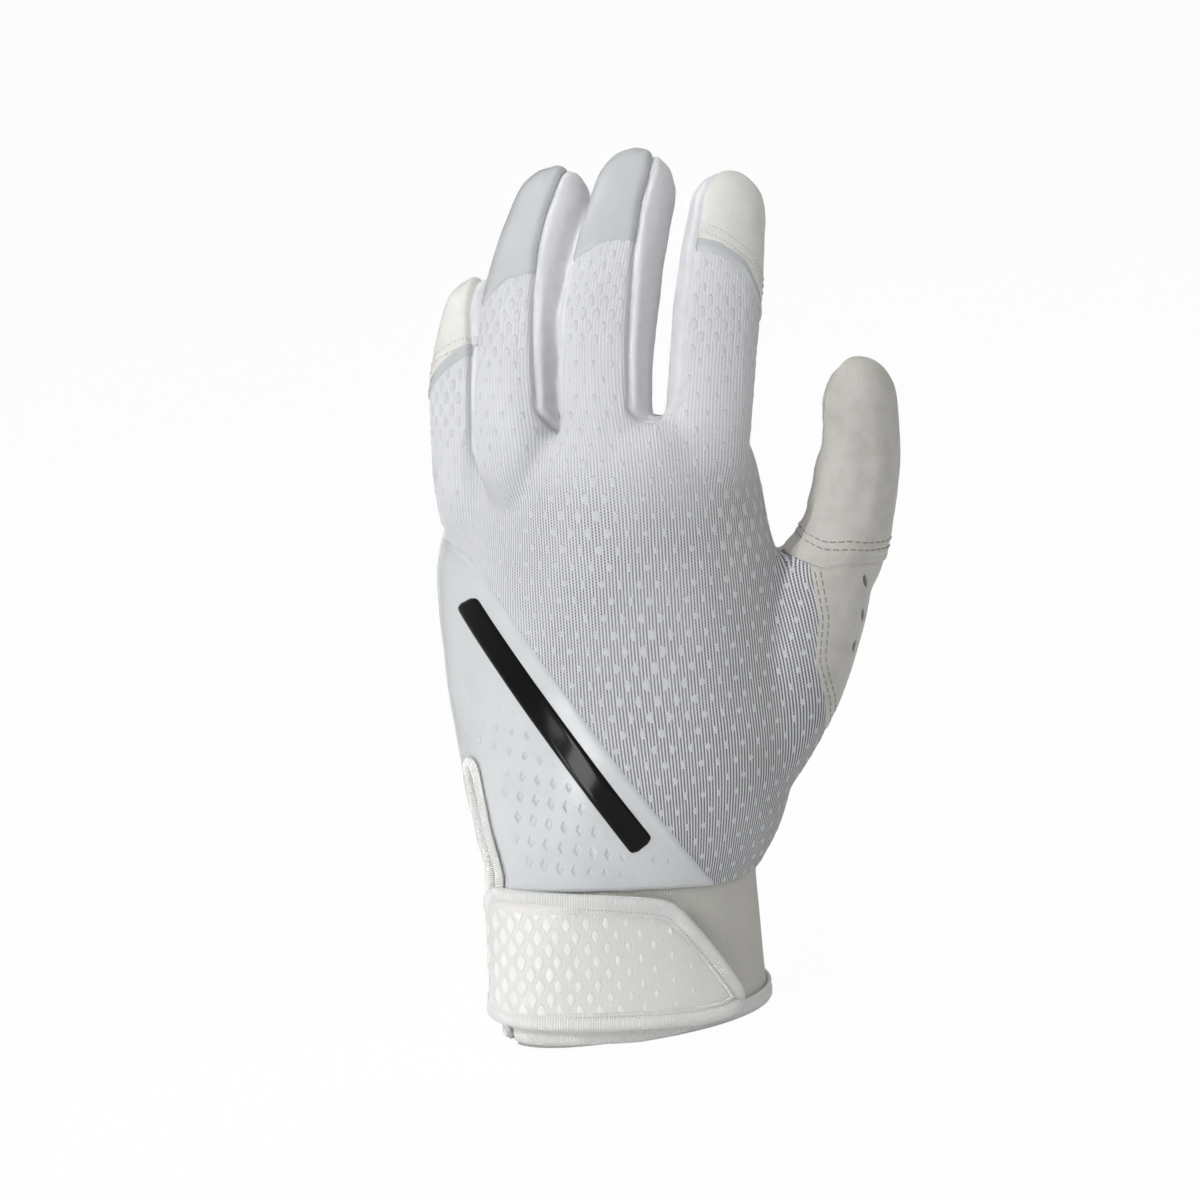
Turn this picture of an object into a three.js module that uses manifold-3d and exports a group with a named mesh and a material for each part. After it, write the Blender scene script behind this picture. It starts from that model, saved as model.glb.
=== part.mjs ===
// A left-hand batting glove in the shape it has when worn, standing on its cuff hem.
// Millimetres, +Z towards the fingertips, -Y the back of the hand, +X the thumb side.
// The hand is one hollow form, cut along its seams into the panels that a glove is sewn from.
import * as THREE from "three";
import { mergeVertices } from "three/addons/utils/BufferGeometryUtils.js";
import Module from "manifold-3d";

const wasm = await Module();
wasm.setup();

// Overall sizes of the body, from hem to finger crotches
const bodyRise = 154;
const knuckleWidth = 84;
const wristDepth = 47;
const cuffHeight = 39;
const archVertexX = 15;
const archRise = 22;
const crotchFall = 14;
const cuffSlopeShare = 0.27;

// Leather, knit, and the gap kept between sewn pieces
const wall = 1.3;
const seamGap = 0.3;
const overrun = 60;

// Cross-section shape
const bodySides = 26;
const digitSides = 14;
const roundness = 2.35;

// Seams along the fingers, measured from the finger's centreline
const backSeamHeight = 5.2;
const palmSeamHeight = 4.6;
const seamOverlap = 0.5;
const outerSeamHeight = -0.8;
const seamNarrowingShare = 0.6;
const tipSeamShare = 0.34;
const gussetTipShare = 0.35;
const digitReach = 16;
const crotchReach = 13.6;
const crotchTail = 4;

// Finger flexing
const creaseGap = 0.5;

// Bonded film
const filmThickness = 0.4;
const filmBandWidth = 3.4;
const filmTopZ = 124;
const filmCornerX = -32;
const filmFootX = 21.6;
const filmCornerRound = 7;
const filmSideMargin = 1.2;
const stripeWidth = 6.4;
const stripeInset = 4.4;
const stripeTopSetback = 12;
const stripeFootSetback = 16.5;

// Wrist slit: from the side of the hand it slants to the back, then runs straight down the cuff
const slitOpening = 2.8;
const slitTopZ = 68.5;
const slitTopY = -3;
const slitCuffY = -17;
const slitInnerX = -12;
const bindingBridge = 0.8;
const bindingBite = 3.2;
const bindingLeaf = 0.7;

// Hem binding
const hemHeight = 6;

// Closure strap, its hook patch and the loop patch on the cuff
const patchThickness = 0.7;
const strapThickness = 1.2;
const strapBindingWidth = 5;
const strapBottomZ = 4.6;
const strapTopZ = 38;
const strapTipTopX = 12;
const strapTipFootX = 28;
const strapTipRound = 6;
const strapRootDegrees = 131;
const strapAnchorLength = 10;
const strapWrapX = 0;
const patchMargin = 6;
const hookPatchLeftX = -6;
const loopPatchLeftX = -22;
const loopPatchMargin = 4;

// Thumb base panel and its leaf-shaped vents
const thumbPanelX = 53;
const thumbPanelFootZ = 66;
const thumbPanelPalmY = 19;
const ventLength = 3.6;
const ventWidth = 1.6;
const ventTopAlong = 67;
const ventTopSideShare = 0.23;
const ventSpacing = 8;
const ventRowGapShare = 0.08;
const ventRowLean = 17;
const ventCounts = [3, 2];

// One digit: where it leaves the hand, how it lies, and how thick it is.
// lean is towards the thumb side, pitch towards the palm, both in degrees at the root;
// sweep and curl are what they gain by the tip; roll turns the back of the digit to the thumb side.
// facingSeamHeight is the height of the back seam on the side that faces the thumb.
const digits = {
  index: {
    rootX: 32, rootY: -6, rootZ: 152, length: 61.5, width: 20.5, depth: 18.4,
    lean: 8, pitch: 5, sweep: 5, curl: 20, roll: 18, flexAlong: 23,
    capAlong: 39, outerSide: 1, tipRound: 11, facingSeamHeight: 5.2,
  },
  middle: {
    rootX: 6.6, rootY: -6, rootZ: 154, length: 68, width: 22, depth: 19.6,
    lean: 3, pitch: 5, sweep: 24, curl: 24, roll: -14, flexAlong: 26,
    capAlong: 39, outerSide: 0, tipRound: 12, facingSeamHeight: 7.6,
  },
  ring: {
    rootX: -15.4, rootY: 1.9, rootZ: 153, length: 67, width: 20.6, depth: 18.8,
    lean: 4.5, pitch: 5.5, sweep: 25, curl: 24, roll: -36, flexAlong: 24,
    capAlong: 30, outerSide: 0, tipRound: 11.5, facingSeamHeight: 7,
  },
  little: {
    rootX: -29, rootY: 16.5, rootZ: 141, length: 49.5, width: 18.4, depth: 16.8,
    lean: 1, pitch: 5, sweep: 18, curl: 22, roll: -46, flexAlong: 18,
    capAlong: 31, outerSide: -1, tipRound: 10, facingSeamHeight: 5.2,
  },
  thumb: {
    rootX: 62.2, rootY: 8, rootZ: 113.5, length: 50, width: 22.6, depth: 20.4,
    lean: 21, pitch: -4, sweep: -24, curl: -8, roll: 44, flexAlong: 0,
    capAlong: 50, outerSide: 0, tipRound: 12,
  },
};
const fingerSink = 20;
const thumbSink = 10;
const sunkShares = [[0.0, 1.0], [0.55, 0.97], [1.0, 0.68]];

// Ball of the thumb, from the heel of the hand up to the thumb seam
const thumbBall = {
  rootX: 24, rootY: 5, rootZ: 52, length: 71, width: 34, depth: 34,
  lean: 35, pitch: 3, sweep: -9, curl: -3, roll: 20,
};

// Height, middle across, middle in depth, width, depth, cuff slope, arch and crotch fall,
// as shares of the sizes above
const bodyShares = [
  [0.0, 0.024, 0.0, 0.798, 1.03, 1.0, 0.0, 0.0],
  [0.061, 0.022, 0.0, 0.795, 1.01, 1.0, 0.0, 0.0],
  [0.143, 0.025, 0.0, 0.786, 1.0, 1.0, 0.0, 0.0],
  [0.224, 0.029, 0.0, 0.776, 1.0, 0.97, 0.0, 0.0],
  [0.248, 0.034, 0.0, 0.84, 1.0, 0.92, 0.0, 0.0],
  [0.291, 0.054, 0.0, 0.884, 0.99, 0.75, 0.05, 0.0],
  [0.343, 0.062, 0.0, 0.938, 0.975, 0.5, 0.1, 0.0],
  [0.42, 0.066, -0.01, 0.997, 0.95, 0.15, 0.2, 0.0],
  [0.508, 0.068, -0.02, 1.035, 0.91, 0.0, 0.34, 0.0],
  [0.61, 0.066, -0.05, 1.055, 0.84, 0.0, 0.5, 0.0],
  [0.712, 0.05, -0.08, 1.035, 0.77, 0.0, 0.66, 0.1],
  [0.803, 0.034, -0.11, 1.005, 0.7, 0.0, 0.84, 0.3],
  [0.874, 0.032, -0.125, 0.985, 0.64, 0.0, 0.95, 0.6],
  [0.935, 0.036, -0.135, 0.95, 0.55, 0.0, 1.0, 0.85],
  [0.98, 0.042, -0.14, 0.88, 0.42, 0.0, 1.0, 1.0],
  [1.0, 0.046, -0.14, 0.76, 0.24, 0.0, 1.0, 1.0],
];
// Thickness along a digit, root to the start of its round tip, as [along, width, depth] shares
const fingerShares = [
  [0.0, 1.0, 1.02], [0.24, 1.0, 1.0], [0.45, 1.02, 1.01], [0.72, 0.98, 0.96], [1.0, 0.9, 0.88],
];
const thumbShares = [
  [0.0, 1.02, 1.0], [0.3, 0.92, 0.95], [0.6, 0.86, 0.92], [0.85, 0.8, 0.84], [1.0, 0.74, 0.78],
];
const thumbBallShares = [
  [0.0, 0.6, 0.8], [0.25, 0.92, 1.0], [0.5, 0.97, 0.98], [0.8, 0.84, 0.84], [1.0, 0.66, 0.6],
];
const tipRingDegrees = [28, 54, 76];

const weldDistance = 1e-4;
const facetTolerance = 0.05;
const degree = Math.PI / 180;
const signedPower = (value, power) => Math.sign(value) * Math.abs(value) ** power;

// Solids from closed geometry and back

function solidOf(geometry) {
  const bare = new THREE.BufferGeometry();
  const source = geometry.index ? geometry.toNonIndexed() : geometry;
  bare.setAttribute("position", source.getAttribute("position").clone());
  const merged = mergeVertices(bare, weldDistance);
  return new wasm.Manifold(
    new wasm.Mesh({
      numProp: 3,
      vertProperties: merged.attributes.position.array,
      triVerts: new Uint32Array(merged.index.array),
    }),
  );
}

function geometryOf(solid) {
  const mesh = solid.getMesh();
  const geometry = new THREE.BufferGeometry();
  geometry.setAttribute("position", new THREE.BufferAttribute(mesh.vertProperties, 3));
  geometry.setIndex(new THREE.BufferAttribute(mesh.triVerts, 1));
  geometry.computeVertexNormals();
  return geometry;
}

const joined = (solids) => solids.reduce((all, one) => all.add(one));

// The panel itself, without the slivers that a slanting cut can leave beside it.
const largestBody = (solid) =>
  solid.decompose().reduce((best, one) => (one.volume() > best.volume() ? one : best));
const cleaned = (solid) =>
  largestBody(largestBody(solid).asOriginal().simplify(facetTolerance));

// A closed solid through rings of points, flat at both ends.
function loft(rings) {
  const count = rings[0].length;
  const positions = rings.flat().flatMap((point) => point.toArray());
  const faces = [];
  for (let r = 0; r + 1 < rings.length; r++) {
    for (let i = 0; i < count; i++) {
      const [a, b] = [r * count + i, r * count + ((i + 1) % count)];
      faces.push(a, b, b + count, a, b + count, a + count);
    }
  }
  const last = (rings.length - 1) * count;
  for (let i = 1; i + 1 < count; i++) {
    faces.push(0, i + 1, i);
    faces.push(last, last + i, last + i + 1);
  }
  const geometry = new THREE.BufferGeometry();
  geometry.setAttribute("position", new THREE.Float32BufferAttribute(positions, 3));
  geometry.setIndex(faces);
  return solidOf(geometry);
}

// A flat outline in the XZ plane, pushed through the hand along Y between two depths.
function frontPrism(outline, fromY, toY) {
  const shape = new THREE.Shape(outline.map(([x, z]) => new THREE.Vector2(x, z)));
  const geometry = new THREE.ExtrudeGeometry(shape, { depth: toY - fromY, bevelEnabled: false });
  geometry.rotateX(Math.PI / 2);
  geometry.translate(0, toY, 0);
  return solidOf(geometry);
}

// A flat outline in the YZ plane, pushed along X between two places.
function sidePrism(outline, fromX, toX) {
  const shape = new THREE.Shape(outline.map(([y, z]) => new THREE.Vector2(y, z)));
  const geometry = new THREE.ExtrudeGeometry(shape, { depth: toX - fromX, bevelEnabled: false });
  geometry.rotateX(Math.PI / 2);
  geometry.rotateZ(Math.PI / 2);
  geometry.translate(fromX, 0, 0);
  return solidOf(geometry);
}

function block(from, to) {
  const size = to.clone().sub(from);
  const geometry = new THREE.BoxGeometry(size.x, size.y, size.z);
  geometry.translate(from.x + size.x / 2, from.y + size.y / 2, from.z + size.z / 2);
  return solidOf(geometry);
}

// The body of the glove, from hem to crotches

function bodyRow([height, across, back, width, depth, slope, arch, fall]) {
  return {
    z: height * bodyRise,
    x: across * knuckleWidth,
    y: back * wristDepth,
    halfWidth: (width * knuckleWidth) / 2,
    halfDepth: (depth * wristDepth) / 2,
    slope: slope * cuffSlopeShare,
    arch: (arch * archRise) / (knuckleWidth / 2) ** 2,
    fall: (fall * crotchFall) / (knuckleWidth / 2) ** 2,
  };
}
const bodyRows = bodyShares.map(bodyRow);

function bodyRowAt(z) {
  const after = Math.max(1, bodyRows.findIndex((row) => row.z >= z));
  const [low, high] = [bodyRows[after - 1], bodyRows[after]];
  const share = (z - low.z) / (high.z - low.z);
  const between = (key) => THREE.MathUtils.lerp(low[key], high[key], share);
  return Object.fromEntries(Object.keys(low).map((key) => [key, between(key)]));
}

// The body's middle surface: turned at the cuff, arched across the knuckles, lower to both sides.
const middleDepth = (row, x) =>
  row.y + row.slope * (x - row.x) + row.arch * (x - archVertexX) ** 2;
const middlePoint = (row, x, depth) =>
  new THREE.Vector3(x, middleDepth(row, x) + depth, row.z - row.fall * (x - archVertexX) ** 2);

function bodyPoint(row, angle, offset) {
  const across = signedPower(Math.cos(angle), 2 / roundness) * (row.halfWidth + offset);
  const depth = signedPower(Math.sin(angle), 2 / roundness) * (row.halfDepth + offset);
  return middlePoint(row, row.x + across, depth);
}

function bodyRing(row, offset) {
  return Array.from({ length: bodySides }, (_, i) => {
    const angle = (i / bodySides) * 2 * Math.PI;
    return bodyPoint(row, angle, offset);
  });
}

// The body grown by an offset; reach lengthens it past the hem so that it cuts right through.
function bodyForm(offset, reach = 0) {
  const rows = bodyRows.map((row) => ({ ...row }));
  if (reach) rows.unshift({ ...rows[0], z: rows[0].z - reach });
  rows[rows.length - 1].z += offset;
  return loft(rows.map((row) => bodyRing(row, offset)));
}

// The digits, each a tapering tube along its own curved centreline

function place(digit, along) {
  const share = along / digit.length;
  const lean = (digit.lean + digit.sweep * share) * degree;
  const pitch = (digit.pitch + digit.curl * share) * degree;
  const direction = new THREE.Vector3(
    Math.sin(lean) * Math.cos(pitch), Math.sin(pitch), Math.cos(lean) * Math.cos(pitch),
  );
  const steps = 24;
  const centre = new THREE.Vector3(digit.rootX, digit.rootY, digit.rootZ);
  for (let i = 0; i < steps; i++) {
    const middle = ((i + 0.5) / steps) * share;
    const stepLean = (digit.lean + digit.sweep * middle) * degree;
    const stepPitch = (digit.pitch + digit.curl * middle) * degree;
    centre.addScaledVector(
      new THREE.Vector3(
        Math.sin(stepLean) * Math.cos(stepPitch),
        Math.sin(stepPitch),
        Math.cos(stepLean) * Math.cos(stepPitch),
      ),
      along / steps,
    );
  }
  const back = new THREE.Vector3(Math.sin(digit.roll * degree), -Math.cos(digit.roll * degree), 0);
  back.addScaledVector(direction, -back.dot(direction)).normalize();
  return { centre, direction, back, side: direction.clone().cross(back) };
}

const pointAt = (at, side, back) =>
  at.centre.clone().addScaledVector(at.side, side).addScaledVector(at.back, back);

function shareAt(shares, along) {
  const after = Math.max(1, shares.findIndex((row) => row[0] >= along));
  const [low, high] = [shares[after - 1], shares[after]];
  const t = THREE.MathUtils.clamp((along - low[0]) / (high[0] - low[0]), 0, 1);
  return [THREE.MathUtils.lerp(low[1], high[1], t), THREE.MathUtils.lerp(low[2], high[2], t)];
}

function digitRing(digit, along, halfWidth, halfDepth) {
  const at = place(digit, along);
  return Array.from({ length: digitSides }, (_, i) => {
    const angle = (i / digitSides) * 2 * Math.PI;
    return pointAt(
      at,
      signedPower(Math.cos(angle), 2 / roundness) * halfWidth,
      -signedPower(Math.sin(angle), 2 / roundness) * halfDepth,
    );
  });
}

// A digit's solid form grown by an offset, from inside the hand, where it narrows, to its round tip.
function digitForm(digit, shares, sink, offset, from = -sink - offset) {
  const straight = digit.length - digit.tipRound;
  const size = (share, sunk) => {
    const [width, depth] = shareAt(shares, share);
    return [(sunk * width * digit.width) / 2 + offset, (sunk * depth * digit.depth) / 2 + offset];
  };
  const rings = shares.map(([share]) => digitRing(digit, share * straight, ...size(share, 1)));
  if (from < 0) {
    for (const [share, sunk] of sunkShares.slice(1)) {
      rings.unshift(digitRing(digit, share * from, ...size(0, sunk)));
    }
  }
  const [halfWidth, halfDepth] = size(1, 1);
  for (const angle of tipRingDegrees) {
    const along = straight + (digit.tipRound + offset) * Math.sin(angle * degree);
    const shrink = Math.cos(angle * degree);
    rings.push(digitRing(digit, along, halfWidth * shrink, halfDepth * shrink));
  }
  return loft(rings);
}

const thumbBallForm = (offset) =>
  loft(
    thumbBallShares.map(([along, width, depth]) =>
      digitRing(
        thumbBall,
        THREE.MathUtils.lerp(-offset, thumbBall.length + offset, along),
        (width * thumbBall.width) / 2 + offset,
        (depth * thumbBall.depth) / 2 + offset,
      ),
    ),
  );

const fingerNames = ["index", "middle", "ring", "little"];
const fingerForm = (name, offset, from) =>
  digitForm(digits[name], fingerShares, fingerSink, offset, from);
const thumbForm = (offset, from) => digitForm(digits.thumb, thumbShares, thumbSink, offset, from);

function handForm(offset, reach = 0) {
  return joined([
    bodyForm(offset, reach),
    thumbBallForm(offset),
    thumbForm(offset),
    ...fingerNames.map((name) => fingerForm(name, offset)),
  ]);
}

// Regions that the seams bound. A region can be grown, so that its neighbour stands off by the gap.

// A run of a digit between two distances along it, limited across and in depth.
function digitRegion(digit, from, to, sideLow, sideHigh, low, high) {
  const steps = 5;
  const rings = Array.from({ length: steps + 1 }, (_, i) => {
    const along = THREE.MathUtils.lerp(from, to, i / steps);
    const at = place(digit, along);
    const [bottom, top] = [low(along), high(along)];
    return [
      pointAt(at, sideLow, bottom),
      pointAt(at, sideHigh, bottom),
      pointAt(at, sideHigh, top),
      pointAt(at, sideLow, top),
    ].reverse();
  });
  return loft(rings);
}

// Seam heights narrow towards the fingertip, where the side gussets run out.
function seamShare(digit, along) {
  const start = digit.length * seamNarrowingShare;
  const share = THREE.MathUtils.clamp((along - start) / (digit.length - start), 0, 1);
  return THREE.MathUtils.lerp(1, tipSeamShare, share * share);
}

// The back seam lies higher on the side that faces the thumb.
function backSeam(digit, side, along) {
  const height = side > 0 ? digit.facingSeamHeight : backSeamHeight;
  return height * seamShare(digit, along);
}

function backSector(digit, from, to, grow) {
  const top = () => digitReach;
  const parts = [-1, 1].map((side) => {
    const [low, high] = side > 0 ? [0, digitReach] : [-digitReach, seamOverlap + Math.max(grow, 0)];
    const seam = (along) => backSeam(digit, side, along) - grow;
    return digitRegion(digit, from, to, low, high, seam, top);
  });
  if (digit.outerSide) {
    const [low, high] = digit.outerSide > 0 ? [0, digitReach] : [-digitReach, 0];
    parts.push(digitRegion(digit, from, to, low, high, () => outerSeamHeight - grow, top));
  }
  return joined(parts);
}

function sideSector(digit, side, from, to, reach, grow) {
  const [low, high] = side > 0 ? [-grow, reach + grow] : [-reach - grow, grow];
  const bottom = (along) => -palmSeamHeight * seamShare(digit, along) - grow;
  const top = (along) => backSeam(digit, side, along) + grow;
  return digitRegion(digit, from - grow, to + grow, low, high, bottom, top);
}

// The back half of the body, in front of its middle surface, and of the finger roots above it.
function bodyBackRegion(grow) {
  const steps = 8;
  const reach = knuckleWidth;
  const rings = bodyRows.map((row) =>
    Array.from({ length: steps + 1 }, (_, i) => {
      const x = archVertexX + THREE.MathUtils.lerp(-reach, reach, i / steps);
      return middlePoint(row, x, grow).setZ(row.z);
    }).concat([
      new THREE.Vector3(archVertexX + reach, -reach, row.z),
      new THREE.Vector3(archVertexX - reach, -reach, row.z),
    ]).reverse(),
  );
  rings.push(rings.at(-1).map((point) => point.clone().setZ(point.z + overrun)));
  return loft(rings);
}

// The hollow hand, its parts beyond each flexing line, and what is left for the palm of the hand

const outer = handForm(0);
const shell = outer.subtract(handForm(-wall, overrun));

// A digit's run beyond a plane square to it, a little thicker than its wall.
function beyond(digit, form, along, shift) {
  const at = place(digit, along);
  return form.trimByPlane(at.direction.toArray(), at.centre.dot(at.direction) + shift);
}

const tubes = Object.fromEntries(
  fingerNames.map((name) => [name, fingerForm(name, wall / 2, 0)]),
);
const fingerShells = Object.fromEntries(
  fingerNames.map((name) => {
    const region = beyond(digits[name], tubes[name], digits[name].flexAlong, creaseGap / 2);
    return [name, shell.intersect(region)];
  }),
);
const thumbTube = thumbForm(wall / 2);
const thumbShell = shell.intersect(beyond(digits.thumb, thumbTube, 0, creaseGap / 2));
const handShell = joined([
  beyond(digits.thumb, thumbTube, 0, -creaseGap / 2),
  ...fingerNames.map((name) =>
    beyond(digits[name], tubes[name], digits[name].flexAlong, -creaseGap / 2),
  ),
]);
const palmAndCuff = shell.subtract(handShell);

// Wrist slit

// An inverted U in the YZ plane round the slit, cut through the side of the wrist.
function slitRegion(halfWidth) {
  const foot = new THREE.Vector2(slitCuffY, cuffHeight);
  const top = new THREE.Vector2(slitTopY, slitTopZ - slitOpening / 2);
  const along = top.clone().sub(foot).normalize();
  const across = new THREE.Vector2(-along.y, along.x);
  const arcSteps = 8;
  const arc = Array.from({ length: arcSteps + 1 }, (_, i) => {
    const angle = (i / arcSteps) * Math.PI;
    return top.clone()
      .addScaledVector(across, halfWidth * Math.cos(angle))
      .addScaledVector(along, halfWidth * Math.sin(angle));
  });
  const outline = [
    ...arc,
    foot.clone().addScaledVector(across, -halfWidth),
    new THREE.Vector2(slitCuffY + halfWidth, cuffHeight),
    new THREE.Vector2(slitCuffY + halfWidth, -overrun),
    new THREE.Vector2(slitCuffY - halfWidth, -overrun),
    new THREE.Vector2(slitCuffY - halfWidth, cuffHeight),
    foot.clone().addScaledVector(across, halfWidth),
  ];
  return sidePrism(outline.map((point) => point.toArray()), -overrun, slitInnerX);
}

const cutEdge = slitOpening / 2 + bindingBridge + seamGap;
const sewn = palmAndCuff.subtract(slitRegion(cutEdge));

const layer = (inner, outside) => bodyForm(outside, overrun).subtract(bodyForm(inner, overrun));
const aboveZ = (solid, z) => solid.trimByPlane([0, 0, 1], z);
const belowZ = (solid, z) => solid.trimByPlane([0, 0, -1], -z);

const slitBinding = aboveZ(
  layer(-wall - seamGap - bindingLeaf, seamGap + bindingLeaf)
    .intersect(slitRegion(slitOpening / 2 + bindingBite))
    .subtract(slitRegion(slitOpening / 2))
    .subtract(layer(-wall - seamGap, seamGap).subtract(slitRegion(cutEdge - seamGap))),
  hemHeight + seamGap,
);

// Cuff band and hem binding

const cuffBand = belowZ(aboveZ(sewn, bindingBridge + seamGap), cuffHeight);
const upper = aboveZ(sewn, cuffHeight + seamGap);
const hemBinding = belowZ(
  aboveZ(
    layer(-wall - seamGap - bindingLeaf, seamGap + bindingLeaf).subtract(
      aboveZ(layer(-wall - seamGap, seamGap), bindingBridge),
    ),
    0,
  ),
  hemHeight,
).subtract(slitRegion(slitOpening / 2 + bindingBite));

// Panels of the hand

// Strips between neighbouring fingers, each down one finger and up the next round the crotch.
const fingerPairs = [["little", "ring"], ["ring", "middle"], ["middle", "index"]];
function crotchRegion(pair, grow) {
  const [little, thumbward] = pair.map((name) => digits[name]);
  const foot = Math.min(little.rootZ, thumbward.rootZ) - crotchTail;
  return joined([
    sideSector(little, 1, foot - little.rootZ, little.flexAlong, crotchReach, grow),
    sideSector(thumbward, -1, foot - thumbward.rootZ, thumbward.flexAlong, crotchReach, grow),
  ]);
}

function thumbPanelRegion(grow) {
  const left = thumbPanelX - grow;
  const foot = thumbPanelFootZ - grow;
  const outline = [
    [left, foot], [left + overrun, foot], [left + overrun, foot + overrun], [left, foot + overrun],
  ];
  return frontPrism(outline, -overrun, thumbPanelPalmY + grow);
}

// A pointed leaf, as two arcs that meet at its ends.
function leaf(x, z, lean) {
  const arcSteps = 6;
  const point = (share, side) => {
    const along = (share - 0.5) * ventLength;
    const across = (side * Math.sin(share * Math.PI) * ventWidth) / 2;
    return [
      x + along * Math.sin(lean) + across * Math.cos(lean),
      z + along * Math.cos(lean) - across * Math.sin(lean),
    ];
  };
  const shares = Array.from({ length: arcSteps }, (_, i) => i / arcSteps);
  return [
    ...shares.map((share) => point(share, 1)),
    ...shares.map((share) => point(1 - share, -1)),
  ];
}

const ventLean = ventRowLean * degree;
const ventTop = pointAt(
  place(thumbBall, ventTopAlong), ventTopSideShare * thumbBall.width, 0,
);
const vents = ventCounts.flatMap((count, rowNumber) =>
  Array.from({ length: count }, (_, i) => {
    const down = (i + rowNumber / 2) * ventSpacing;
    const x = ventTop.x - down * Math.sin(ventLean) + rowNumber * ventRowGapShare * thumbBall.width;
    const z = ventTop.z - down * Math.cos(ventLean);
    return frontPrism(leaf(x, z, ventLean), -overrun, thumbBall.rootY);
  }),
);

const crotchStrips = fingerPairs.map((pair) => upper.intersect(crotchRegion(pair, 0)));
const withoutCrotches = upper.subtract(
  joined(fingerPairs.map((pair) => crotchRegion(pair, seamGap))),
);
const thumbPanel = withoutCrotches.intersect(thumbPanelRegion(0)).subtract(joined(vents));
const handPanels = withoutCrotches.subtract(thumbPanelRegion(seamGap));
const backPanel = handPanels.intersect(bodyBackRegion(0));
const palmPanel = handPanels.subtract(bodyBackRegion(seamGap));

// Film over the little-finger side of the back, with a plain stripe let into it

const filmEdge = new THREE.Vector2(filmFootX - filmCornerX, cuffHeight - filmTopZ).normalize();
const filmOut = new THREE.Vector2(-filmEdge.y, filmEdge.x);
const filmCorner = new THREE.Vector2(filmCornerX, filmTopZ);
const filmFoot = new THREE.Vector2(filmFootX, cuffHeight + seamGap);

const filmOutline = [
  [filmFoot.x, filmFoot.y],
  ...[filmCorner.clone().addScaledVector(filmEdge, filmCornerRound).toArray()],
  [filmCorner.x - filmCornerRound / 2, filmCorner.y],
  [filmCorner.x - overrun, filmCorner.y],
  [filmCorner.x - overrun, filmFoot.y],
];

function stripeOutline(grow) {
  const length = filmCorner.distanceTo(filmFoot);
  const corner = (along, inside) =>
    filmCorner.clone().addScaledVector(filmEdge, along).addScaledVector(filmOut, -inside).toArray();
  const [from, to] = [stripeTopSetback - grow, length - stripeFootSetback + grow];
  const [near, far] = [stripeInset - grow, stripeInset + stripeWidth + grow];
  return [corner(from, near), corner(to, near), corner(to, far), corner(from, far)];
}

const filmSheet = handForm(seamGap + filmThickness)
  .subtract(handForm(seamGap))
  .intersect(bodyBackRegion(-filmSideMargin))
  .intersect(frontPrism(filmOutline, -overrun, overrun));
const film = filmSheet
  .subtract(slitRegion(slitOpening / 2 + bindingBite + seamGap))
  .subtract(frontPrism(stripeOutline(seamGap), -overrun, 0));
const stripe = filmSheet.intersect(frontPrism(stripeOutline(0), -overrun, 0));

// Closure strap

const strapInner = seamGap * 3 + patchThickness * 2;
const strapOuter = strapInner + strapThickness;
const strapFace = strapOuter + seamGap + bindingLeaf;

// The strap's root is a line down the palm side of the cuff, square to the cuff's surface.
const strapRow = bodyRowAt((strapBottomZ + strapTopZ) / 2);
const strapRootAngle = strapRootDegrees * degree;
const strapRootPoint = bodyPoint(strapRow, strapRootAngle, 0);
const strapTangent = bodyPoint(strapRow, strapRootAngle - degree, 0).sub(strapRootPoint)
  .setZ(0).normalize();
const strapRootPlace = strapRootPoint.dot(strapTangent);

// The strap as seen from the back of the hand, drawn in by an inset, with round corners at its tip.
function strapOutline(inset) {
  const [low, high] = [strapBottomZ + inset, strapTopZ - inset];
  const slant = (strapTipFootX - strapTipTopX) / (strapTopZ - strapBottomZ);
  const drawIn = inset * Math.hypot(1, slant) - inset * slant;
  const tip = (z) => strapTipFootX - slant * (z - strapBottomZ) - drawIn - inset * slant;
  const round = Math.max(strapTipRound - inset, seamGap);
  const arc = new THREE.QuadraticBezierCurve(
    new THREE.Vector2(tip(low) - round, low),
    new THREE.Vector2(tip(low), low),
    new THREE.Vector2(tip(low + round), low + round),
  );
  return [
    [-overrun, low],
    ...arc.getPoints(4).map((point) => point.toArray()),
    [tip(high), high],
    [-overrun, high],
  ];
}

function strapRegion(inset) {
  const palmSide = block(
    new THREE.Vector3(-overrun, 0, strapBottomZ + inset),
    new THREE.Vector3(strapWrapX, overrun, strapTopZ - inset),
  ).trimByPlane(strapTangent.clone().negate().toArray(), creaseGap / 2 - strapRootPlace);
  return frontPrism(strapOutline(inset), -overrun, 0).add(palmSide);
}

const strapPanelInset = bindingBridge + seamGap;
const strapPanel = layer(strapInner, strapOuter).intersect(strapRegion(strapPanelInset));
const strapBinding = layer(strapInner - seamGap - bindingLeaf, strapFace)
  .intersect(strapRegion(0))
  .subtract(strapRegion(strapBindingWidth))
  .subtract(layer(strapInner - seamGap, strapOuter + seamGap).intersect(strapRegion(bindingBridge)));
const rightOf = (solid, x) => solid.trimByPlane([1, 0, 0], x);
const hookPatch = rightOf(
  layer(strapInner - seamGap - patchThickness, strapInner - seamGap)
    .intersect(frontPrism(strapOutline(patchMargin), -overrun, 0)),
  hookPatchLeftX,
);
const loopPatch = rightOf(
  layer(seamGap, seamGap + patchThickness)
    .intersect(frontPrism(strapOutline(loopPatchMargin), -overrun, 0)),
  loopPatchLeftX,
);
const strapAnchorBottom = Math.max(strapBottomZ + strapPanelInset, hemHeight + seamGap);
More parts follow.
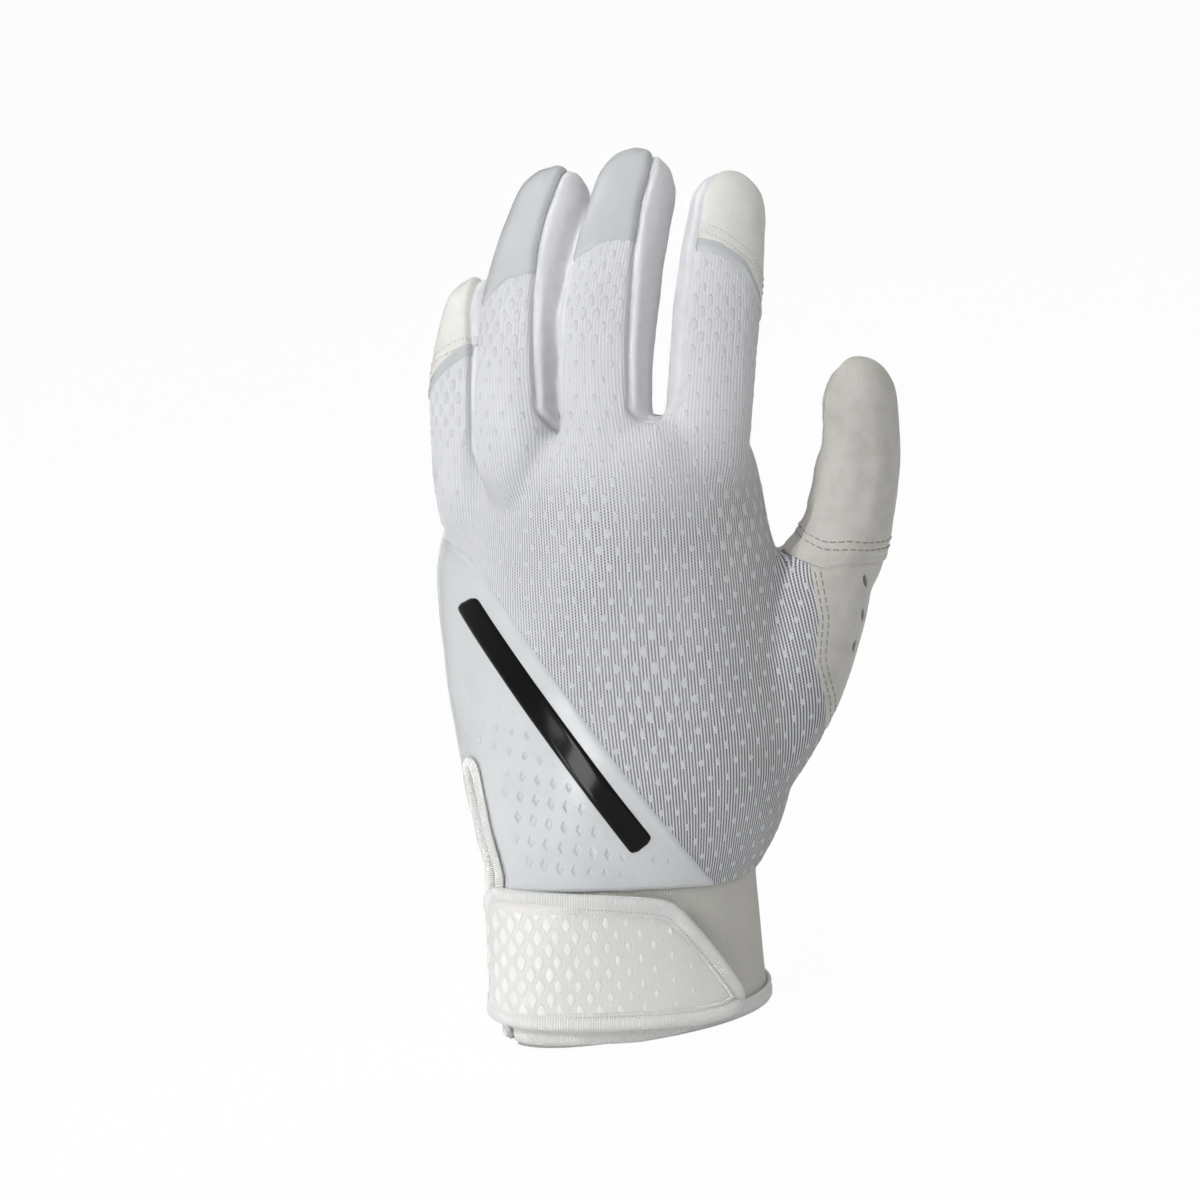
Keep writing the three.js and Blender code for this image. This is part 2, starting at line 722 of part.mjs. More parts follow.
const strapAnchor = layer(seamGap, strapOuter).intersect(
  block(
    new THREE.Vector3(-overrun, 0, strapAnchorBottom),
    new THREE.Vector3(overrun, overrun, strapTopZ - strapPanelInset),
  )
    .trimByPlane(strapTangent.toArray(), strapRootPlace + creaseGap / 2)
    .trimByPlane(strapTangent.clone().negate().toArray(), -strapRootPlace - strapAnchorLength),
);

// Finger and thumb parts beyond their flexing lines

function fingerPieces(name) {
  const digit = digits[name];
  const skin = fingerShells[name];
  const from = digit.flexAlong - creaseGap;
  const end = digit.length + digit.tipRound;
  const gussetEnd = digit.length - digit.tipRound * gussetTipShare;
  const sides = [-1, 1].filter((side) => side !== digit.outerSide);
  const gusset = (side, grow) => sideSector(digit, side, from, gussetEnd, digitReach, grow);
  const pieces = {};
  for (const side of sides) {
    const neighbour = fingerNames[fingerNames.indexOf(name) - side];
    pieces[`${name}_gusset_${neighbour}_side`] = skin.intersect(gusset(side, 0));
  }
  const rest = skin.subtract(joined(sides.map((side) => gusset(side, seamGap))));
  const back = rest.intersect(backSector(digit, from, end, 0));
  pieces[`${name}_palm`] = rest.subtract(backSector(digit, from, end, seamGap));
  const capFrom = (solid, shift) => beyond(digit, solid, digit.capAlong, shift);
  const film = fingerForm(name, seamGap + filmThickness, 0)
    .subtract(fingerForm(name, seamGap, 0))
    .intersect(backSector(digit, from, end, -seamGap));
  if (digit.outerSide) {
    pieces[`${name}_back`] = back.subtract(capFrom(tubes[name], -seamGap / 2));
    pieces[`${name}_tip`] = capFrom(back, seamGap / 2);
    pieces[`${name}_film_band`] = capFrom(film, -filmBandWidth).subtract(
      capFrom(fingerForm(name, digitReach, 0), 0),
    );
  } else {
    pieces[`${name}_back`] = back;
    pieces[`${name}_film_cap`] = capFrom(film, 0);
  }
  return pieces;
}

const thumbBack = (grow) =>
  digitRegion(
    digits.thumb, -thumbSink, digits.thumb.length + thumbSink, -digitReach, digitReach,
    () => -grow, () => digitReach,
  );

// Finishes

const finish = (color, roughness) => new THREE.MeshStandardMaterial({ color, roughness, metalness: 0 });
const finishes = {
  knit: finish(0xe3e5e8, 0.85),
  gusset: finish(0xd9dadb, 0.8),
  leather: finish(0xd0cdc8, 0.6),
  tipLeather: finish(0xe6e5e0, 0.55),
  film: finish(0xd3d6d8, 0.25),
  stripe: finish(0x0b0b0c, 0.2),
  elastic: finish(0xc8c6c0, 0.85),
  binding: finish(0xe0e0de, 0.75),
  strap: finish(0xcbcac6, 0.6),
  patch: finish(0xf0f0ee, 0.9),
};

const glove = new THREE.Group();

function addPiece(name, solid, material) {
  const mesh = new THREE.Mesh(geometryOf(cleaned(solid)), material);
  mesh.name = name;
  glove.add(mesh);
}

addPiece("back_knit", backPanel, finishes.knit);
addPiece("palm_leather", palmPanel, finishes.leather);
fingerPairs.forEach(([little, thumbward], i) =>
  addPiece(`fourchette_${little}_${thumbward}`, crotchStrips[i], finishes.gusset),
);
addPiece("thumb_base_panel", thumbPanel, finishes.leather);
addPiece("wrist_film", film, finishes.film);
addPiece("wrist_stripe", stripe, finishes.stripe);
addPiece("cuff_band", cuffBand, finishes.elastic);
addPiece("hem_binding", hemBinding, finishes.binding);
addPiece("slit_binding", slitBinding, finishes.binding);
addPiece("loop_patch", loopPatch, finishes.patch);
addPiece("strap_anchor", strapAnchor, finishes.strap);
addPiece("strap_panel", strapPanel, finishes.strap);
addPiece("strap_binding", strapBinding, finishes.binding);
addPiece("hook_patch", hookPatch, finishes.patch);

const pieceFinishes = [
  ["_gusset_", finishes.gusset],
  ["_film_", finishes.film],
  ["_tip", finishes.tipLeather],
  ["_palm", finishes.leather],
  ["_back", finishes.knit],
];
for (const name of fingerNames) {
  for (const [pieceName, solid] of Object.entries(fingerPieces(name))) {
    const [, material] = pieceFinishes.find(([part]) => pieceName.includes(part));
    addPiece(pieceName, solid, material);
  }
}
addPiece("thumb_back", thumbShell.intersect(thumbBack(0)), finishes.leather);
addPiece("thumb_palm", thumbShell.subtract(thumbBack(seamGap)), finishes.leather);

// The origin is below the middle of the glove, on the plane that its hem stands on.
const box = new THREE.Box3().setFromObject(glove);
const middle = box.getCenter(new THREE.Vector3());
glove.position.set(-middle.x, -middle.y, 0);

export default glove;
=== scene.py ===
"""Batting glove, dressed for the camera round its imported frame.

A smooth skin is made once over the form of the worn hand. It is cut along the seams into the panels that a
glove maker sews, and each panel becomes a shell with its own cloth or leather. Lengths are in millimetres in
the frame of the hand, and turn to metres where a piece is made.
"""

import logging
import math
from dataclasses import dataclass, field
from enum import Enum

import bpy
import numpy as np
from mathutils import Matrix, Vector
from mathutils.bvhtree import BVHTree
from mathutils.kdtree import KDTree


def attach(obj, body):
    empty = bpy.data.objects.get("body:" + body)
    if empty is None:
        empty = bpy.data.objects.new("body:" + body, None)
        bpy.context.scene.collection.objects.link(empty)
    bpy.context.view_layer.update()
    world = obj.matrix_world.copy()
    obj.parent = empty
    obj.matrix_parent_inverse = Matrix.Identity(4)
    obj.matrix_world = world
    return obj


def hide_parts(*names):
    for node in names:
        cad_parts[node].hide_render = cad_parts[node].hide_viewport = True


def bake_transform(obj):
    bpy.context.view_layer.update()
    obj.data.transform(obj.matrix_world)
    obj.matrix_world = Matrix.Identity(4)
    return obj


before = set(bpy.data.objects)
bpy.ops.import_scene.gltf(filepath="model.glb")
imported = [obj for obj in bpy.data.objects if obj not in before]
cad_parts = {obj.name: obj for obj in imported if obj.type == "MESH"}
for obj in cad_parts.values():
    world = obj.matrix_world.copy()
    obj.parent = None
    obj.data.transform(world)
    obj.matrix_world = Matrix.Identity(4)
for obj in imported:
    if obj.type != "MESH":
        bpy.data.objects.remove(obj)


logging.basicConfig(level=logging.INFO, format="%(message)s")
log = logging.getLogger("glove")

METRES_PER_MM = 0.001
FRAME_SHIFT = np.array([-19.41, -1.598, 0.0])
ROUNDNESS = 2.35
FAR = 60.0

Array = np.ndarray


# Small sums that the forms share


def signed_power(value: Array, power: float) -> Array:
    """Raises a value's size to a power and keeps its sign."""
    return np.sign(value) * np.abs(value) ** power


def smooth_step(value: Array, low: float, high: float) -> Array:
    """Eases from 0, where a value is low, to 1, where it is high."""
    share = np.clip((np.asarray(value, float) - low) / (high - low), 0, 1)
    return share * share * (3 - 2 * share)


def smooth_least(first: Array, second: Array, round_off: float) -> Array:
    """Takes the lesser of two fields and rounds the corner between them as far as round_off."""
    share = np.clip(0.5 + 0.5 * (second - first) / round_off, 0, 1)
    return second * (1 - share) + first * share - round_off * share * (1 - share)


def unit(vectors: Array) -> Array:
    """Scales each row to length one."""
    return vectors / np.maximum(np.linalg.norm(vectors, axis=-1, keepdims=True), 1e-9)


def hill(gap: Array, reach: float) -> Array:
    """A smooth rise: 1 where a gap is 0, and fading as the gap passes its reach."""
    return np.exp(-((gap / reach) ** 2))


def smooth_rows(places: Array, rows: Array, wanted: Array) -> Array:
    """Reads a table of rows between its places, by a curve that doesn't overshoot.

    Args:
        places: the rising places of the rows.
        rows: one row of numbers for each place.
        wanted: the places to read.

    Returns:
        One row of numbers for each wanted place.
    """
    step = np.diff(places)[:, None]
    rise = np.diff(rows, axis=0) / step
    slopes = np.zeros_like(rows)
    same_way = rise[:-1] * rise[1:] > 0
    harmonic = 2 * rise[:-1] * rise[1:] / np.where(same_way, rise[:-1] + rise[1:], 1)
    slopes[1:-1] = np.where(same_way, harmonic, 0)
    slopes[0], slopes[-1] = rise[0], rise[-1]
    wanted = np.clip(wanted, places[0], places[-1])
    at = np.clip(np.searchsorted(places, wanted, side="right") - 1, 0, len(places) - 2)
    width = (places[at + 1] - places[at])[:, None]
    share = ((wanted - places[at]) / (places[at + 1] - places[at]))[:, None]
    start, end = rows[at], rows[at + 1]
    return (
        start * (1 + 2 * share) * (1 - share) ** 2
        + slopes[at] * width * share * (1 - share) ** 2
        + end * share**2 * (3 - 2 * share)
        + slopes[at + 1] * width * share**2 * (share - 1)
    )


def bilinear(table: Array, down: Array, across: Array) -> Array:
    """Reads a table between its entries.

    Args:
        table: rows of columns.
        down: places from the first row, at 0, to the last, at 1.
        across: places from the first column, at 0, to the last, at 1.

    Returns:
        The entries.
    """
    level = np.clip(down * (len(table) - 1), 0, len(table) - 1.001)
    place = np.clip(across * (table.shape[1] - 1), 0, table.shape[1] - 1.001)
    i, j = level.astype(int), place.astype(int)
    p, q = level - i, place - j
    low = table[i, j] * (1 - q) + table[i, j + 1] * q
    high = table[i + 1, j] * (1 - q) + table[i + 1, j + 1] * q
    return low * (1 - p) + high * p


def ripple(points: Array, size: float, seed: int) -> Array:
    """A soft, fixed unevenness, from about -1 to 1.

    Args:
        points: where it is read.
        size: the width of one rise, in mm.
        seed: which unevenness.

    Returns:
        One number for each point.
    """
    chance = np.random.default_rng(seed)
    total = np.zeros(len(points))
    waves = 7
    for _ in range(waves):
        direction = unit(chance.normal(size=(1, 3)))[0] * chance.uniform(0.7, 1.4)
        total += np.sin(points @ direction * math.pi / size + chance.uniform(0, 2 * math.pi))
    return total / math.sqrt(waves)


def linear(hex_code: str) -> tuple[float, float, float, float]:
    """Turns an sRGB hex colour into the linear colour that a shader takes."""
    parts = [int(hex_code[i : i + 2], 16) / 255 for i in (1, 3, 5)]
    curved = [p / 12.92 if p <= 0.04045 else ((p + 0.055) / 1.055) ** 2.4 for p in parts]
    return (*curved, 1.0)


# Blender's names for the nodes and settings that the patterns share

MATH = "ShaderNodeMath"
NOISE = "ShaderNodeTexNoise"
MAP_RANGE = "ShaderNodeMapRange"
MULTIPLY = {"operation": "MULTIPLY"}
MULTIPLY_ADD = {"operation": "MULTIPLY_ADD"}
ABSOLUTE = {"operation": "ABSOLUTE"}
COSINE = {"operation": "COSINE"}
EASED = {"interpolation_type": "SMOOTHSTEP"}


def add_node(
    tree: bpy.types.NodeTree, kind: str, settings: dict | None = None, inputs: dict | None = None
) -> bpy.types.Node:
    """Adds one shader node.

    Args:
        tree: the material's node tree.
        kind: Blender's name for the kind of node.
        settings: the node's own settings.
        inputs: for each socket a number, a colour, or the socket or node that feeds it.

    Returns:
        The new node.
    """
    node = tree.nodes.new(kind)
    for name, value in (settings or {}).items():
        setattr(node, name, value)
    for name, value in (inputs or {}).items():
        source = value.outputs[0] if isinstance(value, bpy.types.Node) else value
        if isinstance(source, bpy.types.NodeSocket):
            tree.links.new(source, node.inputs[name])
        else:
            node.inputs[name].default_value = source
    return node


# Finishes


class Pattern(Enum):
    """The relief that a finish carries."""

    RIB_KNIT = "rib knit"

    GRAIN = "leather grain"
    SATIN = "satin film"
    RIBBED_TAPE = "ribbed tape"
    PILE = "hook and loop pile"
    THREAD = "twisted thread"


@dataclass(frozen=True)
class Finish:
    """A cloth, leather or film, with the colours and relief that it shows.

    Args:
        name: the material's common name and how it was made.
        pattern: its relief.
        colour: its plain colour.
        shade: the colour in its holes, pores or hollows.
        roughness: how matt it is.
        relief: the height of its relief in mm.
        scale: the width of one rib, pore or loop in mm.
        sheen: the soft rim light of loose fibres.
        coat: the clear gloss of a film.
        ior: how strongly its face mirrors.
    """

    name: str
    pattern: Pattern
    colour: str
    shade: str
    roughness: float
    relief: float
    scale: float
    sheen: float = 0.0
    coat: float = 0.0
    ior: float = 1.5

    def material(self) -> bpy.types.Material:
        """Makes the material, or returns it where it is already made."""
        known = bpy.data.materials.get(self.name)
        if known:
            return known
        material = bpy.data.materials.new(self.name)
        material.use_nodes = True
        tree = material.node_tree
        sums = []
        for weighted in self.relief_nodes(tree):
            total = 0.0
            for part, share in weighted:
                total = add_node(tree, MATH, MULTIPLY_ADD, {0: part, 1: share, 2: total})
            sums.append(total)
        height, shading = sums
        colours = {0: shading, 6: linear(self.colour), 7: linear(self.shade)}
        colour = add_node(tree, "ShaderNodeMix", {"data_type": "RGBA"}, colours)
        relief = {"Strength": 1.0, "Distance": self.relief * METRES_PER_MM, "Height": height}
        bump = add_node(tree, "ShaderNodeBump", {}, relief)
        shader = tree.nodes["Principled BSDF"]
        looks = {
            "Roughness": self.roughness,
            "IOR": self.ior,
            "Sheen Weight": self.sheen,
            "Sheen Roughness": 0.5,
            "Coat Weight": self.coat,
            "Coat Roughness": 0.08,
        }
        for name, value in looks.items():
            shader.inputs[name].default_value = value
        tree.links.new(colour.outputs[2], shader.inputs["Base Color"])
        tree.links.new(bump.outputs["Normal"], shader.inputs["Normal"])
        return material

    def relief_nodes(self, tree: bpy.types.NodeTree) -> tuple:
        """Adds the nodes of the pattern.

        Args:
            tree: the material's node tree.

        Returns:
            The nodes that add up to the height, and those that add up to the shade colour's share, each with
            its weight.
        """
        if self.pattern is Pattern.RIB_KNIT:
            return self.knit_nodes(tree)
        if self.pattern in (Pattern.RIBBED_TAPE, Pattern.THREAD):
            return self.tape_nodes(tree)
        return self.grain_nodes(tree)

    def knit_nodes(self, tree: bpy.types.NodeTree) -> tuple:
        """Upright ribs parted by lines of small open holes, alternate lines half a hole apart.

        Args:
            tree: the material's node tree.

        Returns:
            The weighted nodes of height and shade.
        """
        hole_share = 0.9
        rib_turn = math.pi / self.scale
        hole_turn = 2 * math.pi / (self.scale * hole_share)
        weave = add_node(tree, "ShaderNodeAttribute", {"attribute_name": "weave"}).outputs["Vector"]
        place = add_node(tree, "ShaderNodeSeparateXYZ", {}, {0: weave})
        across = add_node(tree, MATH, MULTIPLY, {0: place.outputs[0], 1: rib_turn})
        down = add_node(tree, MATH, MULTIPLY, {0: place.outputs[1], 1: hole_turn})
        ridge = add_node(tree, MATH, COSINE, {0: across})
        line = add_node(tree, MATH, ABSOLUTE, {0: ridge})
        line = add_node(tree, MAP_RANGE, EASED, {"From Min": 0.4, "From Max": 1.0, "Value": line})
        clouds = add_node(tree, NOISE, {}, {"Scale": 0.07, "Detail": 2.0, "Vector": weave})
        fibres = add_node(tree, NOISE, {}, {"Scale": 1.6 / self.scale, "Detail": 3.0, "Vector": weave})
        holes = add_node(tree, MATH, COSINE, {0: down})
        holes = add_node(tree, MATH, MULTIPLY, {0: ridge, 1: holes})
        holes = add_node(tree, MATH, MULTIPLY_ADD, {0: clouds, 1: 1.6, 2: holes})
        hole = add_node(tree, MAP_RANGE, EASED, {"From Min": 0.3, "From Max": 1.7, "Value": holes})
        gap = add_node(tree, MATH, MULTIPLY, {0: line, 1: hole})
        # The knit's openness, the weave's third part, also carries painted shade towards the lower thumb
        # side.
        gap = add_node(tree, MATH, MULTIPLY, {0: gap, 1: place.outputs[2]})
        fine = add_node(tree, MATH, MULTIPLY_ADD, {0: place.outputs[2], 1: 0.58, 2: 0.06})
        return ((fibres, 0.5), (line, -0.5), (gap, -0.6)), ((line, fine), (gap, 0.85), (fibres, 0.12))

    def tape_nodes(self, tree: bpy.types.NodeTree) -> tuple:
        """Fine ribs across a tape, or the twist of a thread.

        Args:
            tree: the material's node tree.

        Returns:
            The weighted nodes of height and shade.
        """
        rib_turn = math.pi / self.scale
        tape = add_node(tree, "ShaderNodeAttribute", {"attribute_name": "tape"}).outputs["Vector"]
        place = add_node(tree, "ShaderNodeSeparateXYZ", {}, {0: tape})
        along = add_node(tree, MATH, MULTIPLY, {0: place.outputs[0], 1: rib_turn})
        if self.pattern is Pattern.THREAD:
            along = add_node(tree, MATH, MULTIPLY_ADD, {0: place.outputs[1], 1: rib_turn, 2: along})
        ribs = add_node(tree, MATH, {"operation": "SINE"}, {0: along})
        ribs = add_node(tree, MATH, ABSOLUTE, {0: ribs})
        uneven = add_node(tree, NOISE, {}, {"Scale": 1 / self.scale, "Detail": 2.0, "Vector": tape})
        return ((ribs, 1.0), (uneven, 0.5)), ((1.0, 0.7), (ribs, -0.7))

    def grain_nodes(self, tree: bpy.types.NodeTree) -> tuple:
        """Pores and creases of leather, the faint orange peel of film, or loose pile.

        Args:
            tree: the material's node tree.

        Returns:
            The weighted nodes of height and shade.
        """
        pore_share = 0.15 if self.pattern is Pattern.SATIN else 0.6
        rest = add_node(tree, "ShaderNodeAttribute", {"attribute_name": "rest_mm"}).outputs["Vector"]
        edges = {"Scale": 1 / self.scale, "Vector": rest}
        cells = add_node(tree, "ShaderNodeTexVoronoi", {"feature": "DISTANCE_TO_EDGE"}, edges)
        limits = {"From Min": 0.0, "From Max": 0.25, "Value": cells.outputs["Distance"]}
        pores = add_node(tree, MAP_RANGE, {}, limits)
        clouds = add_node(tree, NOISE, {}, {"Scale": 0.18 / self.scale, "Detail": 4.0, "Vector": rest})
        fine = add_node(tree, NOISE, {}, {"Scale": 2.2 / self.scale, "Detail": 3.0, "Vector": rest})
        limits = {"From Min": 0.35, "From Max": 0.75, "To Max": 0.6, "Value": clouds}
        mottled = add_node(tree, MAP_RANGE, EASED, limits)
        return ((pores, pore_share), (fine, 0.5), (clouds, 1.2)), ((mottled, 1.0),)


# Warp-knitted polyester, white: matt upright ribs, with dark lines of holes between them, deepened by painted
# shade towards the lower thumb side.
RIB_KNIT = Finish(
    "warp knit polyester, ribbed", Pattern.RIB_KNIT, "#DEDFE2", "#66676B", 0.85, 0.14, 0.8, sheen=0.1
)
# Stretch knit in the side strips, so fine that only a soft fibre grain shows.
SIDE_KNIT = Finish("stretch knit, smooth", Pattern.GRAIN, "#DEDEE1", "#D2D3D7", 0.8, 0.03, 0.5, sheen=0.1)
# Tanned sheepskin of the palm: soft, dull, fine pores.
PALM_LEATHER = Finish("sheepskin, tanned", Pattern.GRAIN, "#DEDCD6", "#CBC8C1", 0.58, 0.06, 0.9)
# Sheepskin over the thumb and its ball, with a slight waxed gleam: a greyer leather, its colour darkened
# further as painted shade for the shade that falls on the thumb side of the hand.
THUMB_LEATHER = Finish(
    "sheepskin, waxed grey", Pattern.GRAIN, "#C8C6C0", "#B8B5AE", 0.42, 0.06, 0.8, coat=0.1
)
# Smooth white leather of the fingertips.
TIP_LEATHER = Finish("sheepskin, smooth white", Pattern.GRAIN, "#E0DFDA", "#D4D3CD", 0.48, 0.05, 0.8)
# Polyurethane film bonded by heat: satin, with small clean highlights.
BONDED_FILM = Finish(
    "polyurethane film, heat bonded", Pattern.SATIN, "#CDD0D1", "#C5C8CA", 0.27, 0.02, 1.6, coat=0.4
)
# The same film, clearer and glossier, over the fingertips.
CAP_FILM = Finish("polyurethane film, glossy", Pattern.SATIN, "#C2C5C7", "#BABDBF", 0.22, 0.02, 2.0, coat=0.7)
# Black film: a deep gloss that mirrors only the lamps.
BLACK_FILM = Finish(
    "polyurethane film, black", Pattern.SATIN, "#060607", "#080809", 0.16, 0.01, 2.0, coat=0.1, ior=1.3
)
# Elastic webbing knitted with rubber thread: fine upright ribs.
CUFF_ELASTIC = Finish(
    "elastic webbing, knitted", Pattern.RIBBED_TAPE, "#CFCDC7", "#B1AEA7", 0.85, 0.12, 0.62, sheen=0.1
)
# Grosgrain tape folded over the edges: tight ribs across it.
BINDING_TAPE = Finish(
    "grosgrain tape, woven", Pattern.RIBBED_TAPE, "#F0F0EE", "#C6C6C4", 0.72, 0.14, 0.55, sheen=0.15
)
# Coated fabric of the strap, matt grey over fine upright ribs.
STRAP_BASE = Finish("coated ribbed fabric, grey", Pattern.RIBBED_TAPE, "#E4E3DF", "#D5D4CF", 0.6, 0.04, 0.5)
# Raised printed lozenges of white silicone ink.
STRAP_PRINT = Finish("silicone ink, printed", Pattern.SATIN, "#EEEEEB", "#E9E9E5", 0.42, 0.01, 1.0)
# The raised dots of the knit, printed in a clear gum that greys the cloth.
DOT_PRINT = Finish("silicone gum, printed", Pattern.SATIN, "#CCCDD0", "#C6C7CA", 0.4, 0.01, 1.0)
# Bonded polyester sewing thread.
THREAD = Finish("polyester thread, bonded", Pattern.THREAD, "#E4E3DF", "#CBC9C3", 0.6, 0.05, 0.35)
# The same thread, painted darker: painted shade for a stitch pulled tight into soft leather.
SHADED_THREAD = Finish("polyester thread, pulled tight", Pattern.THREAD, "#A3A099", "#94918A", 0.7, 0.05, 0.35)
# Leather pierced by the needle: a dark bead of painted shade for the shaded inside of each hole.
NEEDLE_HOLE_SHADE = Finish("needle hole, painted shade", Pattern.GRAIN, "#8C8983", "#7E7B75", 0.9, 0.01, 0.5)
# The same painted shade, paler in white fingertip leather, where the thread fills the hole.
PALE_HOLE_SHADE = Finish("needle hole, filled by its thread", Pattern.GRAIN, "#B9B7B1", "#ACAAA4", 0.9, 0.01, 0.5)
# Hook and loop tape: a short dull pile.
PILE = Finish("hook and loop, nylon", Pattern.PILE, "#E9E9E6", "#D8D8D4", 0.9, 0.25, 0.5, sheen=0.3)


# Pieces


@dataclass
class Sheet:
    """A mesh in the making: its points in mm, its faces and the patterns that its finish reads."""

    points: Array
    faces: list
    patterns: dict[str, Array] = field(default_factory=dict)
    normals: Array | None = None


def joined(sheets: list[Sheet]) -> Sheet:
    """Puts sheets beside each other, as one mesh.

    Args:
        sheets: the sheets, all with the same patterns.

    Returns:
        The sheet that holds them all.
    """
    shifts = np.cumsum([0] + [len(sheet.points) for sheet in sheets]).tolist()
    faces = [[i + shift for i in face] for sheet, shift in zip(sheets, shifts) for face in sheet.faces]
    patterns = {name: np.vstack([sheet.patterns[name] for sheet in sheets]) for name in sheets[0].patterns}
    return Sheet(np.vstack([sheet.points for sheet in sheets]), faces, patterns)


def bead(spot: Array, outline: Array, out: Array, levels: tuple) -> Sheet:
    """A small closed bead.

    Args:
        spot: its middle on the surface.
        outline: its outline about the middle.
        out: the outward direction.
        levels: how much the outline is scaled, and how high it lies, from foot to top.

    Returns:
        The sheet.
    """
    return Sheet(*closed_loft(np.array([spot + outline * scale + out * rise for scale, rise in levels])))


# The form of the worn hand


@dataclass(frozen=True)
class PalmForm:
    """The hand without its fingers: rows from the hem to the knuckles, lofted.

    Args:
        rise: the height of the knuckles over the hem.
        knuckle_width: the width that the rows' places and widths are shares of.
        wrist_depth: the depth that their depths are shares of.
        slope_share: the full slope of a row towards the palm, from the little finger to the thumb.
        arch_middle: where the arch of the knuckles is highest, across the hand.
        arch_rise: the full arch at half a knuckle width from there.
        crotch_fall: the full fall of a row in height at the same place.
        rows: height, centre across and in depth, half width, half depth, slope, arch and fall, all as shares.
    """

    rise: float = 154.0
    knuckle_width: float = 84.0
    wrist_depth: float = 47.0
    slope_share: float = 0.27
    arch_middle: float = 15.0
    arch_rise: float = 22.0
    crotch_fall: float = 14.0
    rows: tuple = (
        (0, 0.024, 0, 0.798, 1.03, 1, 0, 0),
        (0.061, 0.022, 0, 0.795, 1.01, 1, 0, 0),
        (0.143, 0.025, 0, 0.786, 1, 1, 0, 0),
        (0.224, 0.029, 0, 0.776, 1, 0.97, 0, 0),
        (0.248, 0.034, 0, 0.84, 1, 0.92, 0, 0),
        (0.291, 0.054, 0, 0.884, 0.99, 0.75, 0.05, 0),
        (0.343, 0.062, 0, 0.938, 0.975, 0.5, 0.1, 0),
        (0.42, 0.066, -0.01, 0.997, 0.95, 0.15, 0.2, 0),
        (0.508, 0.068, -0.02, 1.035, 0.91, 0, 0.34, 0),
        (0.61, 0.066, -0.05, 1.055, 0.84, 0, 0.5, 0),
        (0.712, 0.05, -0.08, 1.035, 0.77, 0, 0.66, 0.1),
        (0.803, 0.034, -0.11, 1.005, 0.7, 0, 0.84, 0.3),
        (0.874, 0.032, -0.125, 0.985, 0.64, 0, 0.95, 0.6),
        (0.935, 0.036, -0.135, 0.95, 0.55, 0, 1, 0.85),
        (0.98, 0.042, -0.14, 0.88, 0.42, 0, 1, 1),
        (1, 0.046, -0.14, 0.76, 0.24, 0, 1, 1),
    )

    def row(self, height: Array) -> Array:
        """Reads the rows at some heights.

        Args:
            height: heights above the hem.

        Returns:
            For each height: centre x and y, half width, half depth, slope, arch and fall.
        """
        table = np.array(self.rows, float)
        width = self.knuckle_width
        scale = [width, self.wrist_depth, width / 2, self.wrist_depth / 2, self.slope_share]
        scale += [self.arch_rise / (width / 2) ** 2, self.crotch_fall / (width / 2) ** 2]
        return smooth_rows(table[:, 0] * self.rise, table[:, 1:] * scale, np.atleast_1d(height))

    def middle_depth(self, row: Array, x: Array) -> Array:
        """The depth of the surface that parts back from palm, on some rows at places across the hand."""
        return row[:, 1] + row[:, 4] * (x - row[:, 0]) + row[:, 5] * (x - self.arch_middle) ** 2

    def surface(self, angle: Array, height: Array, offset: Array | float = 0.0) -> Array:
        """Points on the hand's surface.

        Args:
            angle: places round the row, in radians: 0 at the thumb side, quarter turn at the palm.
            height: heights of the rows.
            offset: how far outside the surface.

        Returns:
            The points.
        """
        angle, height, offset = np.broadcast_arrays(angle, height, offset)
        shape = angle.shape
        angle, height, offset = angle.ravel(), height.ravel(), offset.ravel()
        row = self.row(height)
        x = row[:, 0] + signed_power(np.cos(angle), 2 / ROUNDNESS) * (row[:, 2] + offset)
        y = self.middle_depth(row, x) + signed_power(np.sin(angle), 2 / ROUNDNESS) * (row[:, 3] + offset)
        z = height - row[:, 6] * (x - self.arch_middle) ** 2
        return np.stack([x, y, z], -1).reshape(*shape, 3)

    def angle_of(self, points: Array) -> Array:
        """The angle round its row that each point lies at."""
        row = self.row(points[:, 2])
        middle = self.middle_depth(row, points[:, 0])
        across = signed_power((points[:, 0] - row[:, 0]) / row[:, 2], ROUNDNESS / 2)
        back = signed_power((points[:, 1] - middle) / row[:, 3], ROUNDNESS / 2)
        return np.arctan2(back, across) % (2 * math.pi)

    def ring_mesh(self) -> tuple[Array, list]:
        """A closed loft of the whole form.

        Returns:
            Its points and faces.
        """
        sides = 96
        heights = np.concatenate([[-8, -4], np.linspace(0, self.rise, 80)])
        angles = np.linspace(0, 2 * math.pi, sides, endpoint=False)
        rings = self.surface(angles[None, :], np.clip(heights, 0, None)[:, None])
        rings[:, :, 2] += np.minimum(heights, 0)[:, None]
        return closed_loft(rings)


def closed_loft(rings: Array) -> tuple[Array, list]:
    """Skins a stack of rings and closes both ends.

    Args:
        rings: the rings, each with the same number of points.

    Returns:
        Points and faces.
    """
    levels, sides, _ = rings.shape
    numbers = np.arange(levels * sides).reshape(levels, sides)
    after = np.roll(numbers, -1, axis=1)
    foot, head = levels * sides, levels * sides + 1
    faces = np.stack([numbers[:-1], after[:-1], after[1:], numbers[1:]], -1).reshape(-1, 4).tolist()
    faces += [[foot, j, i] for i, j in zip(numbers[0].tolist(), after[0].tolist())]
    faces += [[head, i, j] for i, j in zip(numbers[-1].tolist(), after[-1].tolist())]
    return np.vstack([rings.reshape(-1, 3), rings[0].mean(0), rings[-1].mean(0)]), faces


